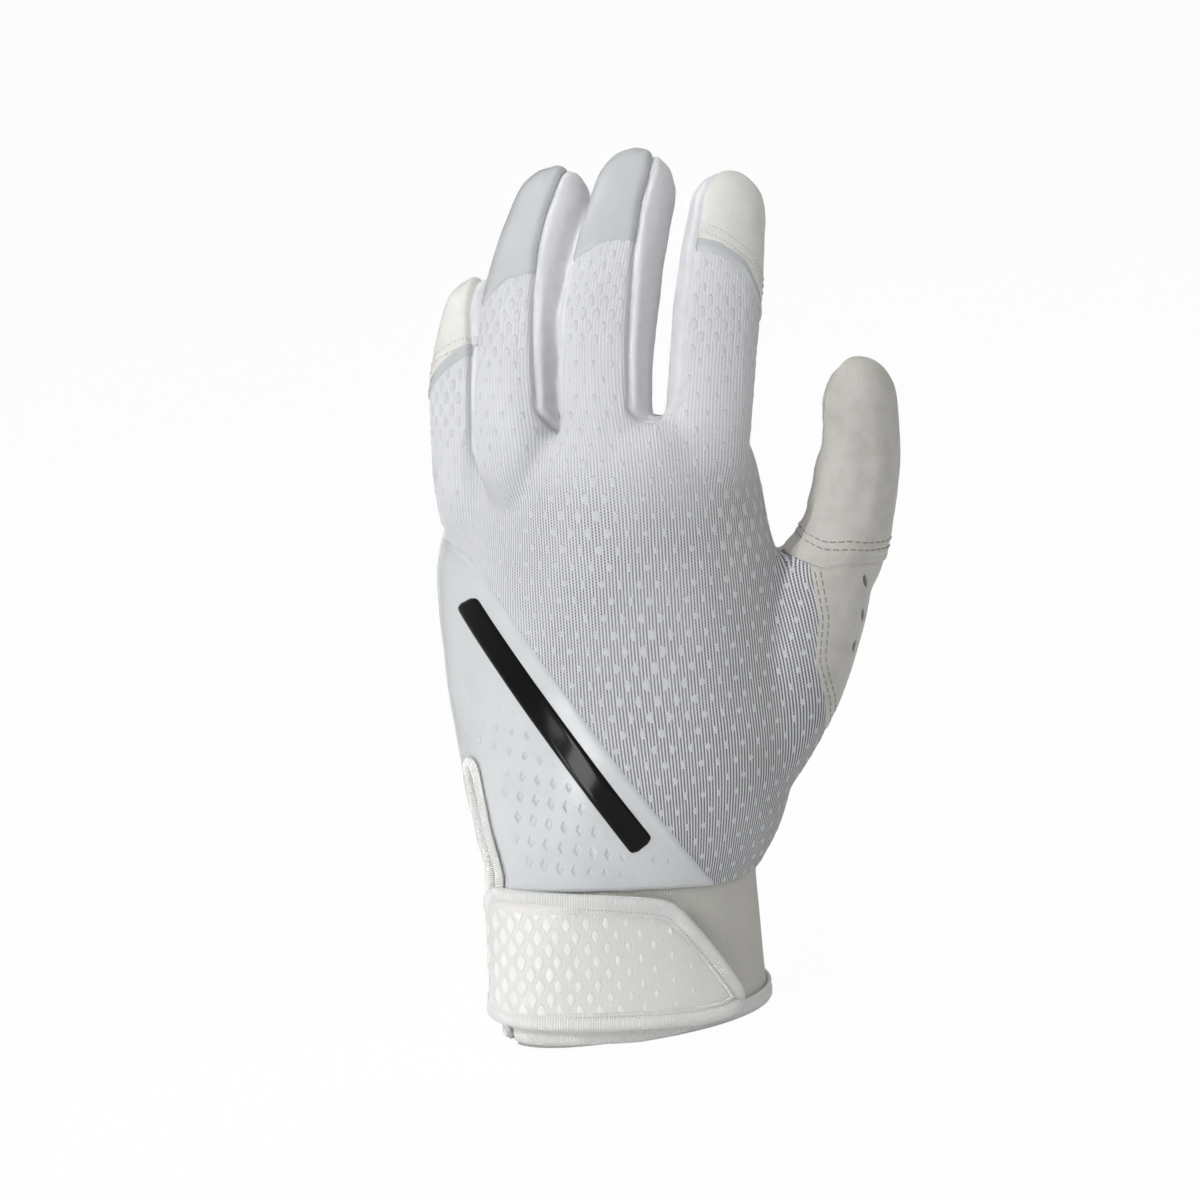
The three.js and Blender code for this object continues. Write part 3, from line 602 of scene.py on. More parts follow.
@dataclass(frozen=True)
class Digit:
    """A finger, the thumb or the ball of the thumb, on its own bent axis.

    Args:
        name: what the pieces on it are called after.
        root: where its axis starts.
        size: its length, width and depth.
        turn: lean, pitch, sweep, curl and roll in degrees.
        shares: along, width and depth shares.
        sink: how far it runs into the hand.
        tip_round: the length of its rounded end.
        flex: where it bends, along its axis.
        outer: the side with no side strip, 1 towards the thumb, or 0.
        seams: places of the back seam as (along, side, back), for each side.
        foot: where the side strips close, for the -side and the +side.
        cap: places of the edge of its tip or film as (side, along).
    """

    name: str
    root: tuple
    size: tuple
    turn: tuple
    shares: tuple
    sink: float
    tip_round: float = 0.0
    flex: float = 0.0
    outer: int = 0
    seams: tuple = ((), ())
    foot: tuple = (-6.0, -6.0)
    cap: tuple = ()

    def axis(self, along: Array) -> tuple[Array, Array, Array, Array]:
        """Reads the bent axis.

        Args:
            along: places along it.

        Returns:
            Centres, and the directions forwards, to the side and to the back.
        """
        length = self.size[0]
        lean, pitch, sweep, curl, roll = (math.radians(a) for a in self.turn)

        def heading(place: Array) -> Array:
            turn_to = lean + sweep * place / length
            rise_to = pitch + curl * place / length
            parts = [np.sin(turn_to) * np.cos(rise_to), np.sin(rise_to), np.cos(turn_to) * np.cos(rise_to)]
            return np.stack(parts, -1)

        steps = 24
        along = np.asarray(along, float)
        middles = (np.arange(steps) + 0.5) / steps
        centre = np.array(self.root) + heading(along[..., None] * middles).mean(-2) * along[..., None]
        forward = heading(along)
        square = np.array([math.sin(roll), -math.cos(roll), 0.0])
        back = unit(square - (forward @ square)[..., None] * forward)
        return centre, forward, np.cross(forward, back), back

    def halves(self, along: Array) -> tuple[Array, Array]:
        """Half width and half depth, with the rounded end.

        Args:
            along: places along the axis.

        Returns:
            The two halves.
        """
        straight = self.size[0] - self.tip_round
        table = np.array(self.shares, float)
        rows = smooth_rows(table[:, 0] * straight, table[:, 1:], np.clip(along, 0, straight).ravel())
        rows = rows.reshape(*np.shape(along), 2)
        sunk = np.interp(-np.asarray(along) / self.sink, [0, 0.55, 1], [1, 0.97, 0.68])
        if self.tip_round:
            beyond = np.clip((along - straight) / self.tip_round, 0, 1)
            sunk = sunk * np.sqrt(np.maximum(1 - beyond**2, 0))
        return rows[..., 0] * self.size[1] / 2 * sunk, rows[..., 1] * self.size[2] / 2 * sunk

    def ring_mesh(self) -> tuple[Array, list]:
        """A closed loft of the digit.

        Returns:
            Its points and faces.
        """
        sides = 56
        straight = self.size[0] - self.tip_round
        places = list(np.arange(-self.sink, straight, 1.5)) + [straight]
        if self.tip_round:
            places += [straight + self.tip_round * math.sin(math.radians(a)) for a in range(8, 90, 8)]
        places = np.array(places)
        centre, _, side, back = self.axis(places)
        wide, deep = self.halves(places)
        angles = np.linspace(0, 2 * math.pi, sides, endpoint=False)
        across = signed_power(np.cos(angles), 2 / ROUNDNESS)
        down = signed_power(np.sin(angles), 2 / ROUNDNESS)
        rings = (
            centre[:, None]
            + side[:, None] * (across[None, :] * wide[:, None])[..., None]
            - back[:, None] * (down[None, :] * deep[:, None])[..., None]
        )
        return closed_loft(rings)

    def local(self, points: Array) -> dict[str, Array]:
        """Places of points on this digit.

        Args:
            points: the points.

        Returns:
            Along, side and back in mm, the rise of the point above the digit's side in degrees, and its
            distance outside the digit.
        """
        length = self.size[0]
        stations = np.arange(-40, length + 8, 2.0)
        centre, forward, _, _ = self.axis(stations)
        along = np.empty(len(points))
        chunk = 20000
        for start in range(0, len(points), chunk):
            part = points[start : start + chunk]
            gap = ((part[:, None] - centre[None]) ** 2).sum(-1)
            near = gap.argmin(1)
            along[start : start + chunk] = stations[near] + ((part - centre[near]) * forward[near]).sum(-1)
        for _ in range(2):
            centre, forward, side_way, back_way = self.axis(along)
            along = along + ((points - centre) * forward).sum(-1) * 0.8
        centre, forward, side_way, back_way = self.axis(along)
        side = ((points - centre) * side_way).sum(-1)
        back = ((points - centre) * back_way).sum(-1)
        wide, deep = self.halves(np.clip(along, 0, length - 0.3))
        straight = length - self.tip_round
        full_wide, full_deep = self.halves(np.clip(along, 0, straight))
        share = np.abs(side / full_wide) ** ROUNDNESS + np.abs(back / full_deep) ** ROUNDNESS
        share = share ** (1 / ROUNDNESS)
        outside = (share - 1) * (full_wide + full_deep) / 2
        rise = np.degrees(np.arctan2(back / deep, np.maximum(np.abs(side) / wide, 1e-6)))
        round_about = np.arctan2(back / full_deep, side / full_wide)
        return {
            "along": along,
            "side": side,
            "back": back,
            "rise": rise,
            "outside": np.maximum(outside, 0),
            "round": (math.pi / 2 - round_about + math.pi) % (2 * math.pi) - math.pi,
            "radius": (full_wide + full_deep) / 2,
        }

    def place(self, along: float) -> tuple[float, float, float]:
        """A point on the axis, in the frame's metres."""
        centre = self.axis(np.array([along]))[0][0]
        return tuple((centre + FRAME_SHIFT) * METRES_PER_MM)

    def seam_rise(self, along: Array, side: int) -> Array:
        """How high the back seam lies, in degrees above the digit's side.

        Args:
            along: places along the digit.
            side: -1 or 1.

        Returns:
            The rises in degrees.
        """
        seam = np.array(self.seams[0 if side < 0 else 1], float)
        wide, deep = self.halves(seam[:, 0])
        rise = np.degrees(np.arctan2(seam[:, 2] / deep, np.abs(seam[:, 1]) / wide))
        order = np.argsort(seam[:, 0])
        return np.interp(along, seam[order, 0], rise[order])


FINGER_SHARES = ((0, 1, 1.02), (0.24, 1, 1), (0.45, 1.02, 1.01), (0.72, 0.98, 0.96), (1, 0.9, 0.88))
THUMB_SHARES = ((0, 1.02, 1), (0.3, 0.92, 0.95), (0.6, 0.86, 0.92), (0.85, 0.8, 0.84), (1, 0.74, 0.78))
BALL_SHARES = ((0, 0.6, 0.8), (0.25, 0.92, 1), (0.5, 0.97, 0.98), (0.8, 0.84, 0.84), (1, 0.66, 0.6))

INDEX = Digit(
    "index", (32, -6, 152), (61.5, 20.5, 18.4), (8, 5, 5, 20, 18), FINGER_SHARES, 20, 11, 23, 1,
    seams=(((0, -9.4, 4.6), (44, -8.7, 4.3), (58, -6.6, 2.9)), ((0, 10, -0.8), (60, 8, -0.8))),
    foot=(-4, -6), cap=((-8.8, 42), (-4.1, 41), (2.6, 38), (6.9, 32), (10.5, 27)),
)
MIDDLE = Digit(
    "middle", (6.6, -6, 154), (68, 22, 19.6), (3, 5, 24, 24, -14), FINGER_SHARES, 20, 12, 26, 0,
    seams=(
        ((0, -9.5, 5.0), (66, -8, 3.0)),
        (
            (8, 7.8, 7.7), (22, 7.1, 8.2), (34, 6.1, 8.5), (42, 5.0, 8.6), (52, 3.7, 8.5), (59, 3.5, 8.0),
            (64, 2.2, 5.9),
        ),
    ),
    foot=(-5, -6), cap=((-9.4, 36), (-4, 40), (0.9, 42), (4.5, 42), (9, 41)),
)
RING = Digit(
    "ring", (-15.4, 1.9, 153), (67, 20.6, 18.8), (4.5, 5.5, 25, 24, -36), FINGER_SHARES, 20, 11.5, 24, 0,
    seams=(
        ((0, -9, 5.0), (64, -7, 3.0)),
        (
            (8, 9.3, 4.8), (16, 8.6, 6.0), (34, 6.5, 7.7), (42, 5.1, 8.1), (48, 4.5, 8.0), (56, 4.3, 7.7),
            (64, 2.8, 5.6),
        ),
    ),
    foot=(-16, -4), cap=((-8.1, 28), (-0.8, 34), (5.7, 36), (9, 36)),
)
LITTLE = Digit(
    "little", (-29, 16.5, 141), (49.5, 18.4, 16.8), (1, 5, 18, 22, -46), FINGER_SHARES, 20, 10, 18, -1,
    seams=(((0, -9, -0.8), (48, -7, -0.8)), ((2, 7.9, 5.1), (12, 8.0, 5.0), (28, 7.0, 5.7), (41, 4.2, 6.6))),
    foot=(-6, -4), cap=((-9, 19), (-3.4, 24), (1.9, 27.5), (5.7, 30), (9, 31)),
)
THUMB = Digit("thumb", (62.2, 8, 113.5), (50, 22.6, 20.4), (21, -4, -24, -8, 44), THUMB_SHARES, 10, 12)
THUMB_BALL = Digit("thumb_ball", (24, 5, 52), (71, 34, 34), (35, 3, -9, -3, 20), BALL_SHARES, 0.01)
FINGERS = (INDEX, MIDDLE, RING, LITTLE)
PALM = PalmForm()


@dataclass(frozen=True)
class Slit:
    """The slit in the little-finger side of the cuff and wrist, as a bent line seen from that side.

    Args:
        opening: its width.
        top_height: the height of its head.
        top_depth: where its head lies in depth.
        cuff_depth: where it lies in depth on the cuff.
        cuff_height: the height at which it bends.
        inner_x: how far in from the little-finger side it can reach.
        bite: how far its binding clasps the cloth.
    """

    opening: float = 2.8
    top_height: float = 68.5
    top_depth: float = -3.0
    cuff_depth: float = -17.0
    cuff_height: float = 39.0
    inner_x: float = -12.0
    bite: float = 3.2

    def line(self) -> Array:
        """The bent line as (depth, height), from its head to below the hem."""
        head = (self.top_depth, self.top_height - self.opening / 2)
        return np.array([head, (self.cuff_depth, self.cuff_height), (self.cuff_depth, -10)])

    def distance(self, points: Array) -> Array:
        """How far each point lies from the slit's line, seen from the side.

        Args:
            points: the points.

        Returns:
            The distances, and a far one on the other side of the hand.
        """
        place = points[:, 1:3]
        found = np.full(len(points), FAR)
        line = self.line()
        for start, end in zip(line[:-1], line[1:]):
            run = end - start
            share = np.clip(((place - start) @ run) / (run @ run), 0, 1)
            found = np.minimum(found, np.linalg.norm(place - start - share[:, None] * run, axis=1))
        return np.where(points[:, 0] < self.inner_x, found, FAR)


SLIT = Slit()
CUFF_LINE = (
    (0, 36.5), (90, 38.0), (180, 39.5), (210, 40.2), (244, 40.2), (260, 39.5), (282, 37.5), (306, 35.8),
    (324, 35.5), (344, 36.0), (360, 36.5),
)


def cuff_line(angle: Array) -> Array:
    """The height at which the hand's cloth meets the cuff, by the angle round it in radians."""
    table = np.array(CUFF_LINE, float)
    return np.interp(np.degrees(angle) % 360, table[:, 0], table[:, 1])


@dataclass(frozen=True)
class Maker:
    """Turns sheets into Blender pieces, and ties those that ride on a named body to the frame."""

    thumb_bend: tuple = (0.5, 16)
    knuckle_reach: float = 9

    def piece(
        self, name: str, sheet: Sheet, finish: Finish, slot: str, node: str = "", body: Digit | str = "hand"
    ) -> None:
        """Makes one piece in the frame's metres, and ties it to the frame where it rides on a named body.

        Args:
            name: the piece's name.
            sheet: its mesh in mm.
            finish: what it is made of.
            slot: the record's material slot; not used.
            node: the CAD node that it stands for, if any.
            body: the body that it rides on, or the digit that it lies on; a piece on a digit is neither tied
                nor bent.
        """
        mesh = bpy.data.meshes.new(name)
        places = (sheet.points + FRAME_SHIFT) * METRES_PER_MM
        mesh.from_pydata(places.tolist(), [], sheet.faces)
        mesh.polygons.foreach_set("use_smooth", [True] * len(mesh.polygons))
        patterns = {"rest_mm": sheet.points, **sheet.patterns}
        for key, rows in patterns.items():
            attribute = mesh.attributes.new(key, "FLOAT_VECTOR", "POINT")
            attribute.data.foreach_set("vector", np.asarray(rows, np.float32).ravel())
        if sheet.normals is not None:
            mesh.normals_split_custom_set(sheet.normals.tolist())
        mesh.materials.append(finish.material())
        mesh.update()
        piece = bpy.data.objects.new(name, mesh)
        bpy.context.scene.collection.objects.link(piece)
        log.info("%s: %d points, %s", name, len(mesh.vertices), finish.name)
        if node:
            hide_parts(node)
        if isinstance(body, str):
            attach(piece, body)
        elif body is THUMB:
            start, end = (body.place(along) for along in self.thumb_bend)
            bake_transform(piece)
            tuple(start)
            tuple(end)
        else:
            start = body.place(body.flex - self.knuckle_reach)
            end = body.place(body.flex + self.knuckle_reach)
            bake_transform(piece)
            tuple(start)
            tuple(end)


MAKER = Maker()


# The skin and its seams


@dataclass
class Skin:
    """A triangle mesh with named fields on its points, which can be cut along the zero line of a field."""

    points: Array
    triangles: Array
    fields: dict[str, Array] = field(default_factory=dict)

    def edges(self) -> tuple[Array, Array]:
        """Each edge once, and for each triangle the numbers of its three edges."""
        pairs = self.triangles[:, [[0, 1], [1, 2], [2, 0]]].reshape(-1, 2)
        pairs = np.sort(pairs, axis=1)
        code = pairs[:, 0].astype(np.int64) * (len(self.points) + 1) + pairs[:, 1]
        _, first, where = np.unique(code, return_index=True, return_inverse=True)
        return pairs[first], where.reshape(-1, 3)

    def normals(self) -> Array:
        """Outward directions at the points."""
        corners = self.points[self.triangles]
        face = np.cross(corners[:, 1] - corners[:, 0], corners[:, 2] - corners[:, 0])
        total = np.zeros_like(self.points)
        for i in range(3):
            for axis in range(3):
                total[:, axis] += np.bincount(self.triangles[:, i], face[:, axis], len(self.points))
        return unit(total)

    def relax(self, rounds: int, pace: float = 0.5) -> None:
        """Smooths the points.

        Args:
            rounds: how many times.
            pace: how far towards the neighbours each time.
        """
        edges, _ = self.edges()
        count = np.bincount(edges.ravel(), minlength=len(self.points))[:, None]
        for _ in range(rounds):
            total = np.zeros_like(self.points)
            for axis in range(3):
                total[:, axis] += np.bincount(edges[:, 0], self.points[edges[:, 1], axis], len(self.points))
                total[:, axis] += np.bincount(edges[:, 1], self.points[edges[:, 0], axis], len(self.points))
            self.points = self.points + pace * (total / count - self.points)

    def add_points(self, edges: Array, shares: Array) -> Array:
        """Adds a point on each of some edges, with every field carried over.

        Args:
            edges: the edges as pairs of point numbers.
            shares: where on each edge.

        Returns:
            The new points' numbers.
        """
        first = len(self.points)
        share = shares[:, None]
        fresh = self.points[edges[:, 0]] * (1 - share) + self.points[edges[:, 1]] * share
        self.points = np.vstack([self.points, fresh])
        for name, rows in self.fields.items():
            weight = share if rows.ndim == 2 else shares
            fresh = rows[edges[:, 0]] * (1 - weight) + rows[edges[:, 1]] * weight
            self.fields[name] = np.concatenate([rows, fresh])
        return first + np.arange(len(edges))

    def retriangulate(self, edge_point: Array, of_triangle: Array) -> None:
        """Parts each triangle by the new points on its edges.

        Args:
            edge_point: for each edge its new point, or -1.
            of_triangle: for each triangle the numbers of its three edges.
        """
        marks = edge_point[of_triangle]
        count = (marks >= 0).sum(1)
        kept = [self.triangles[count == 0]]
        for wanted in (1, 2, 3):
            chosen = count == wanted
            corners, middles = self.triangles[chosen].copy(), marks[chosen].copy()
            for _ in range(2):
                has = middles >= 0
                turn = ~has[:, 0] if wanted == 1 else (has[:, 1] if wanted == 2 else np.zeros(len(has), bool))
                corners[turn] = np.roll(corners[turn], -1, axis=1)
                middles[turn] = np.roll(middles[turn], -1, axis=1)
            a, b, c = corners.T
            ab, bc, ca = middles.T
            if wanted == 1:
                kept += [np.stack([a, ab, c], 1), np.stack([ab, b, c], 1)]
            elif wanted == 2:
                kept += [np.stack([a, ab, ca], 1), np.stack([ab, b, c], 1), np.stack([ab, c, ca], 1)]
            else:
                kept += [np.stack(t, 1) for t in ((a, ab, ca), (ab, b, bc), (ca, bc, c), (ab, bc, ca))]
        self.triangles = np.vstack(kept)

    def cut(self, name: str, snap: float = 0.12) -> None:
        """Adds points where a field crosses 0, so that no triangle crosses it.

        Args:
            name: the field.
            snap: how near an end of an edge a crossing may come, as a share of the edge.
        """
        values = self.fields[name]
        edges, of_triangle = self.edges()
        low, high = values[edges].T
        crossing = low * high < 0
        share = np.where(crossing, low / np.where(crossing, low - high, 1), 0.5)
        values[edges[crossing & (share < snap), 0]] = 0
        values[edges[crossing & (share > 1 - snap), 1]] = 0
        low, high = values[edges].T
        crossing = low * high < 0
        fresh = self.add_points(edges[crossing], low[crossing] / (low - high)[crossing])
        self.fields[name][fresh] = 0
        edge_point = np.full(len(edges), -1)
        edge_point[crossing] = fresh
        self.retriangulate(edge_point, of_triangle)

    def refine(self, name: str, level: float, longest: float) -> None:
        """Halves the long edges where a field is above a level.

        Args:
            name: the field.
            level: the level above which edges are halved.
            longest: edges up to this length stay.
        """
        edges, of_triangle = self.edges()
        values = self.fields[name][edges].max(1)
        length = np.linalg.norm(self.points[edges[:, 0]] - self.points[edges[:, 1]], axis=1)
        chosen = (values > level) & (length > longest)
        edge_point = np.full(len(edges), -1)
        edge_point[chosen] = self.add_points(edges[chosen], np.full(chosen.sum(), 0.5))
        self.retriangulate(edge_point, of_triangle)

    def mean(self, name: str) -> Array:
        """The mean of a field over each triangle."""
        return self.fields[name][self.triangles].mean(1)


class Cloth(Enum):
    """What a panel of the skin is cut from."""

    BACK = "knit back"
    SIDE = "side strip"
    PALM = "palm leather"
    TIP = "tip leather"
    PANEL = "thumb base leather"
    THUMB_BACK = "thumb leather, back"
    THUMB_FRONT = "thumb leather, palm side"


CLOTHS = list(Cloth)
LAPPED = {Cloth.TIP: 0.42, Cloth.PANEL: 0.3, Cloth.THUMB_BACK: 0.85, Cloth.THUMB_FRONT: 0.85}


@dataclass
class SewnHand:
    """The skin of the whole glove above the cuff, cut along its seams.

    Args:
        voxel: the width of the skin's first cells.
        rounds: how many times the skin is smoothed.
        thickness: the thickness of cloth and leather.
        seam_depth: how deep a turned seam pulls in.
        seam_reach: how far from the seam that shows.
        puff: how far the cloth swells beside a seam.
        puff_place: how far from the seam it swells most.
        puff_reach: how wide the swelling is.
        lap_dip: how deep the cloth dips where leather is lapped over it.
        lap_reach: how far from the edge that shows.
        hand_reach: how far below its bend a finger's own pieces start.
        strip_rise: the length over which a side strip opens to its full width.
        palm_seam_rise: where the leather meets a side strip, in degrees above the finger's side.
        panel_seam: the left edge of the leather over the ball of the thumb, as (height, side).
        panel_foot: the height of that leather's foot.
        panel_palm: how far round to the palm it reaches.
        film_corner: the upper corner of the bonded film, as (side, height).
        film_foot: where its slanted edge meets the cuff.
        film_round: how far its upper corner is rounded.
        film_margin: how far it ends from the palm's leather.
        film_slit_gap: how far it ends from the slit.
        film_band: the width of the film bands on the fingers.
        weave_rounds: how many rounds the ribs are evened out.
        finger_swell: how much fuller the fingers are than their form.
        ripples: the height, width and seed of the cloth's soft unevenness.
        thumb_hollows: along and across the thumb, the reach both ways and the depth of each hollow.
        thumb_creases: the two ends of each crease, as (along, side), and its depth.
        crease_reach: how wide a crease is.
        thumb_rows: how far from the thumb's seam its stitch rows press the leather in.
        row_dip: how deep they press.
        row_reach: how far from the row that shows.
        cuts: the fields whose zero lines the skin is cut along, in order.
    """

    voxel: float = 0.95
    rounds: int = 12
    thickness: float = 1.2
    seam_depth: float = 0.85
    seam_reach: float = 0.75
    puff: float = 0.22
    puff_place: float = 2.0
    puff_reach: float = 1.1
    lap_dip: float = 0.12
    lap_reach: float = 0.8
    hand_reach: float = 10.0
    strip_rise: float = 9.0
    palm_seam_rise: float = -26.0
    panel_seam: tuple = (
        (60, 55.4), (71, 55), (78.3, 55.3), (89.1, 53.3), (99.5, 55.1), (111.9, 54), (125, 54),
    )
    panel_foot: float = 66.0
    panel_palm: float = 19.0
    film_corner: tuple = (-32.0, 124.0)
    film_foot: tuple = (23.5, 36.3)
    film_round: float = 9.0
    film_margin: float = 1.0
    film_slit_gap: float = 2.6
    film_band: float = 2.9
    weave_rounds: int = 260
    finger_swell: float = 0.22
    ripples: tuple = ((0.12, 15.0, 3), (0.05, 6.0, 8))
    thumb_hollows: tuple = ((28, -6, 6, 2.6, 1.15), (15.5, -6, 4.5, 2.4, 1.0), (7.5, -8.5, 2.2, 3.5, 0.5))
    thumb_creases: tuple = (((35.5, -8.5), (29.5, -3.6), 0.4), ((10.5, -11), (8.5, -4), 0.35))
    crease_reach: float = 1.1
    thumb_rows: tuple = (1.8, 3.6)
    row_dip: float = 0.16
    row_reach: float = 0.55
    cuts: tuple = (
        "cuff", "slit", "thumb", "tip_start", "back", "palm", "panel", "thumb_side", "cap", "band", "film",
    )

    def cut_from(self, cloth: Cloth) -> Array:
        """Which triangles are cut from a cloth."""
        return self.kinds == CLOTHS.index(cloth)

    def film_edge(self) -> tuple[Array, Array, Array, float]:
        """The slanted edge of the bonded film, seen from the back of the hand.

        Returns:
            Its upper corner, the directions down along it and into the film, and its length.
        """
        corner = np.array(self.film_corner)
        run = np.array(self.film_foot) - corner
        way = unit(run)
        return corner, way, np.array([way[1], -way[0]]), float(np.linalg.norm(run))

    def build(self) -> None:
        """Makes the skin, its fields, its cuts and its seams."""
        self.skin = self.smooth_skin()
        self.add_fields()
        skin = self.skin
        for name in self.cuts:
            skin.cut(name)
        self.add_vents()
        self.mark_seams()
        skin.fields["near"] = -np.minimum(skin.fields["turned"], skin.fields["lapped"])
        skin.refine("near", -1.7, 0.55)
        skin.refine("film", -0.5, 0.6)
        gap = skin.points[:, [0, 2]] - np.array(Films.dent_middle)
        reach = Films.dent_reach - np.hypot(gap[:, 0], 0.75 * gap[:, 1])
        skin.fields["dented"] = np.minimum(skin.fields["film"] - 3, reach)
        skin.refine("dented", 0, 0.34)
        self.mark_seams()
        self.shape_seams()
        self.normals = skin.normals()
        self.kinds, self.owners, self.sides = self.sort_faces()
        self.lay_weave()
        self.tree = BVHTree.FromPolygons(self.outer.tolist(), skin.triangles.tolist())
        log.info("skin: %d points, %d triangles", len(skin.points), len(skin.triangles))

    def smooth_skin(self) -> Skin:
        """Joins the forms of hand and digits and smooths where they meet.

        Returns:
            The skin.
        """
        forms = [PALM, *FINGERS, THUMB, THUMB_BALL]
        whole = joined([Sheet(*form.ring_mesh()) for form in forms])
        mesh = bpy.data.meshes.new("hand form")
        mesh.from_pydata(whole.points.tolist(), [], whole.faces)
        form = bpy.data.objects.new("hand form", mesh)
        bpy.context.scene.collection.objects.link(form)
        remesh = form.modifiers.new("join", "REMESH")
        remesh.mode = "VOXEL"
        remesh.voxel_size = self.voxel
        graph = bpy.context.evaluated_depsgraph_get()
        solid = form.evaluated_get(graph).to_mesh()
        solid.calc_loop_triangles()
        found = np.empty(len(solid.vertices) * 3)
        solid.vertices.foreach_get("co", found)
        corners = np.empty(len(solid.loop_triangles) * 3, np.int32)
        solid.loop_triangles.foreach_get("vertices", corners)
        bpy.data.objects.remove(form)
        bpy.data.meshes.remove(mesh)
        skin = Skin(found.reshape(-1, 3), corners.reshape(-1, 3).astype(int))
        skin.relax(self.rounds)
        return skin

    def add_fields(self) -> None:
        """Works out, at each point, on which side of every seam it lies."""
        skin = self.skin
        points = skin.points
        fields = skin.fields
        body = PALM.middle_depth(PALM.row(points[:, 2]), points[:, 0]) - points[:, 1]
        places = [digit.local(points) for digit in FINGERS]
        outside = np.stack([p["outside"] for p in places])
        for row, place in zip(outside, places):
            row += np.maximum(-place["along"] - 25, 0)
        weight = np.exp(-(outside - outside.min(0)) / 1.1)
        weight /= weight.sum(0)
        self.owner = outside.argmin(0)
        back, palm = np.zeros(len(points)), np.zeros(len(points))

        start, cap = np.full(len(points), -FAR), np.full(len(points), -FAR)
        ribs = np.tile([0.05, 0, 1.0], (len(points), 1))
        for number, (digit, place) in enumerate(zip(FINGERS, places)):
            along, side = place["along"], place["side"]
            plus = smooth_step(side, -2.5, 2.5)
            rise = digit.seam_rise(along, -1) * (1 - plus) + digit.seam_rise(along, 1) * plus
            minus_low, plus_low = (FAR if way == digit.outer else self.palm_seam_rise for way in (-1, 1))
            low = minus_low * (1 - plus) + plus_low * plus
            closing = smooth_step(along, digit.size[0] - 3.5, digit.size[0] - 0.8)
            low = np.minimum(low * (1 - closing) + FAR * closing, rise)
            scale = place["radius"] * math.pi / 180
            foot = digit.foot[0] * (1 - plus) + digit.foot[1] * plus
            grown = smooth_step((along - foot) / self.strip_rise, 0, 1)
            share = weight[number]

            back += share * ((1 - grown) * body + grown * (place["rise"] - rise) * scale)
            palm += share * ((1 - grown) * body + grown * (place["rise"] - low) * scale)
            own = self.owner == number
            start[own] = (along - (digit.flex - self.hand_reach))[own]
            edge = np.array(digit.cap)
            cap[own] = (along - np.interp(side, edge[:, 0], edge[:, 1]))[own]
            forward = digit.axis(along)[1]
            ribs += (share * smooth_step(along, -26, 22))[:, None] * forward * 3
        fields["ribs"] = unit(ribs)
        height, across = points[:, 2], points[:, 0]
        # How open the knit is, which deepens its holes and dark rib lines: less on the fingers and the
        # little-finger side; the last factor, growing towards the lower thumb side, is partly painted shade
        # for the side turned from the lamps.
        open_share = (1 - 0.85 * smooth_step(height, 122, 158)) * (0.3 + 0.7 * smooth_step(across, -36, -8))
        fields["open"] = open_share * (0.65 + 0.6 * smooth_step(across * 0.7 - height * 0.5, -60, 10))
        fields["weave"] = np.column_stack([across, height, fields["open"]])
        fields["back"], fields["palm"] = back, palm
        fields["tip_start"], fields["cap"] = start, cap
        fields["band"] = cap + self.film_band

        fields["cuff"] = points[:, 2] - cuff_line(PALM.angle_of(points))
        fields["slit"] = SLIT.distance(points) - SLIT.opening / 2 - 1.1
        thumb = THUMB.local(points)
        edge = np.interp(thumb["side"], [-11.5, -6.8, 8.5, 12], [-3.0, 0.0, 1.5, 1.5])
        fields["thumb"] = np.minimum(thumb["along"] - edge, 5 - thumb["outside"])
        fields["thumb_side"] = np.where(thumb["along"] > -6, thumb["back"] + 4.0, FAR)
        fields["thumb_across"] = thumb["side"]
        fields["thumb_along"] = thumb["along"]
        seam = np.array(self.panel_seam)
        panel = points[:, 0] - np.interp(points[:, 2], seam[:, 0], seam[:, 1])
        panel = np.minimum(panel, points[:, 2] - self.panel_foot)
        fields["panel"] = np.minimum(panel, self.panel_palm - points[:, 1])
        fields["film"] = self.film_field(points, body)
        fields["alongs"] = np.stack([p["along"] for p in places], 1)
        fields["side_of"] = np.stack([p["side"] for p in places], 1)
        fields["outside"] = outside.T.copy()

    def lay_weave(self) -> None:
        """Lays the ribs over the knit as evenly as cloth allows, up the hand and along each finger."""
        skin = self.skin
        knit = skin.triangles[self.cut_from(Cloth.BACK)]
        edges = np.unique(np.sort(knit[:, [[0, 1], [1, 2], [2, 0]]].reshape(-1, 2), 1), axis=0)
        start, end = edges[:, 0], edges[:, 1]
        step = skin.points[end] - skin.points[start]
        up = skin.fields["ribs"]
        up = unit(up - (up * self.normals).sum(1)[:, None] * self.normals)
        across = np.cross(up, self.normals)
        wanted = [((way[start] + way[end]) / 2 * step).sum(1) for way in (across, up)]
        count = len(skin.points)

        def gathered(flow: Array) -> Array:
            return np.bincount(end, flow, count) - np.bincount(start, flow, count)

        for column, flow in enumerate(wanted):
            place = skin.fields["weave"][:, column].copy()
            left = gathered(flow - (place[end] - place[start]))
            way, size = left.copy(), left @ left
            for _ in range(self.weave_rounds):
                pull = gathered(way[end] - way[start])
                reach = size / (way @ pull)
                place += reach * way
                left -= reach * pull
                fresh = left @ left
                way, size = left + fresh / size * way, fresh
            skin.fields["weave"][:, column] = place

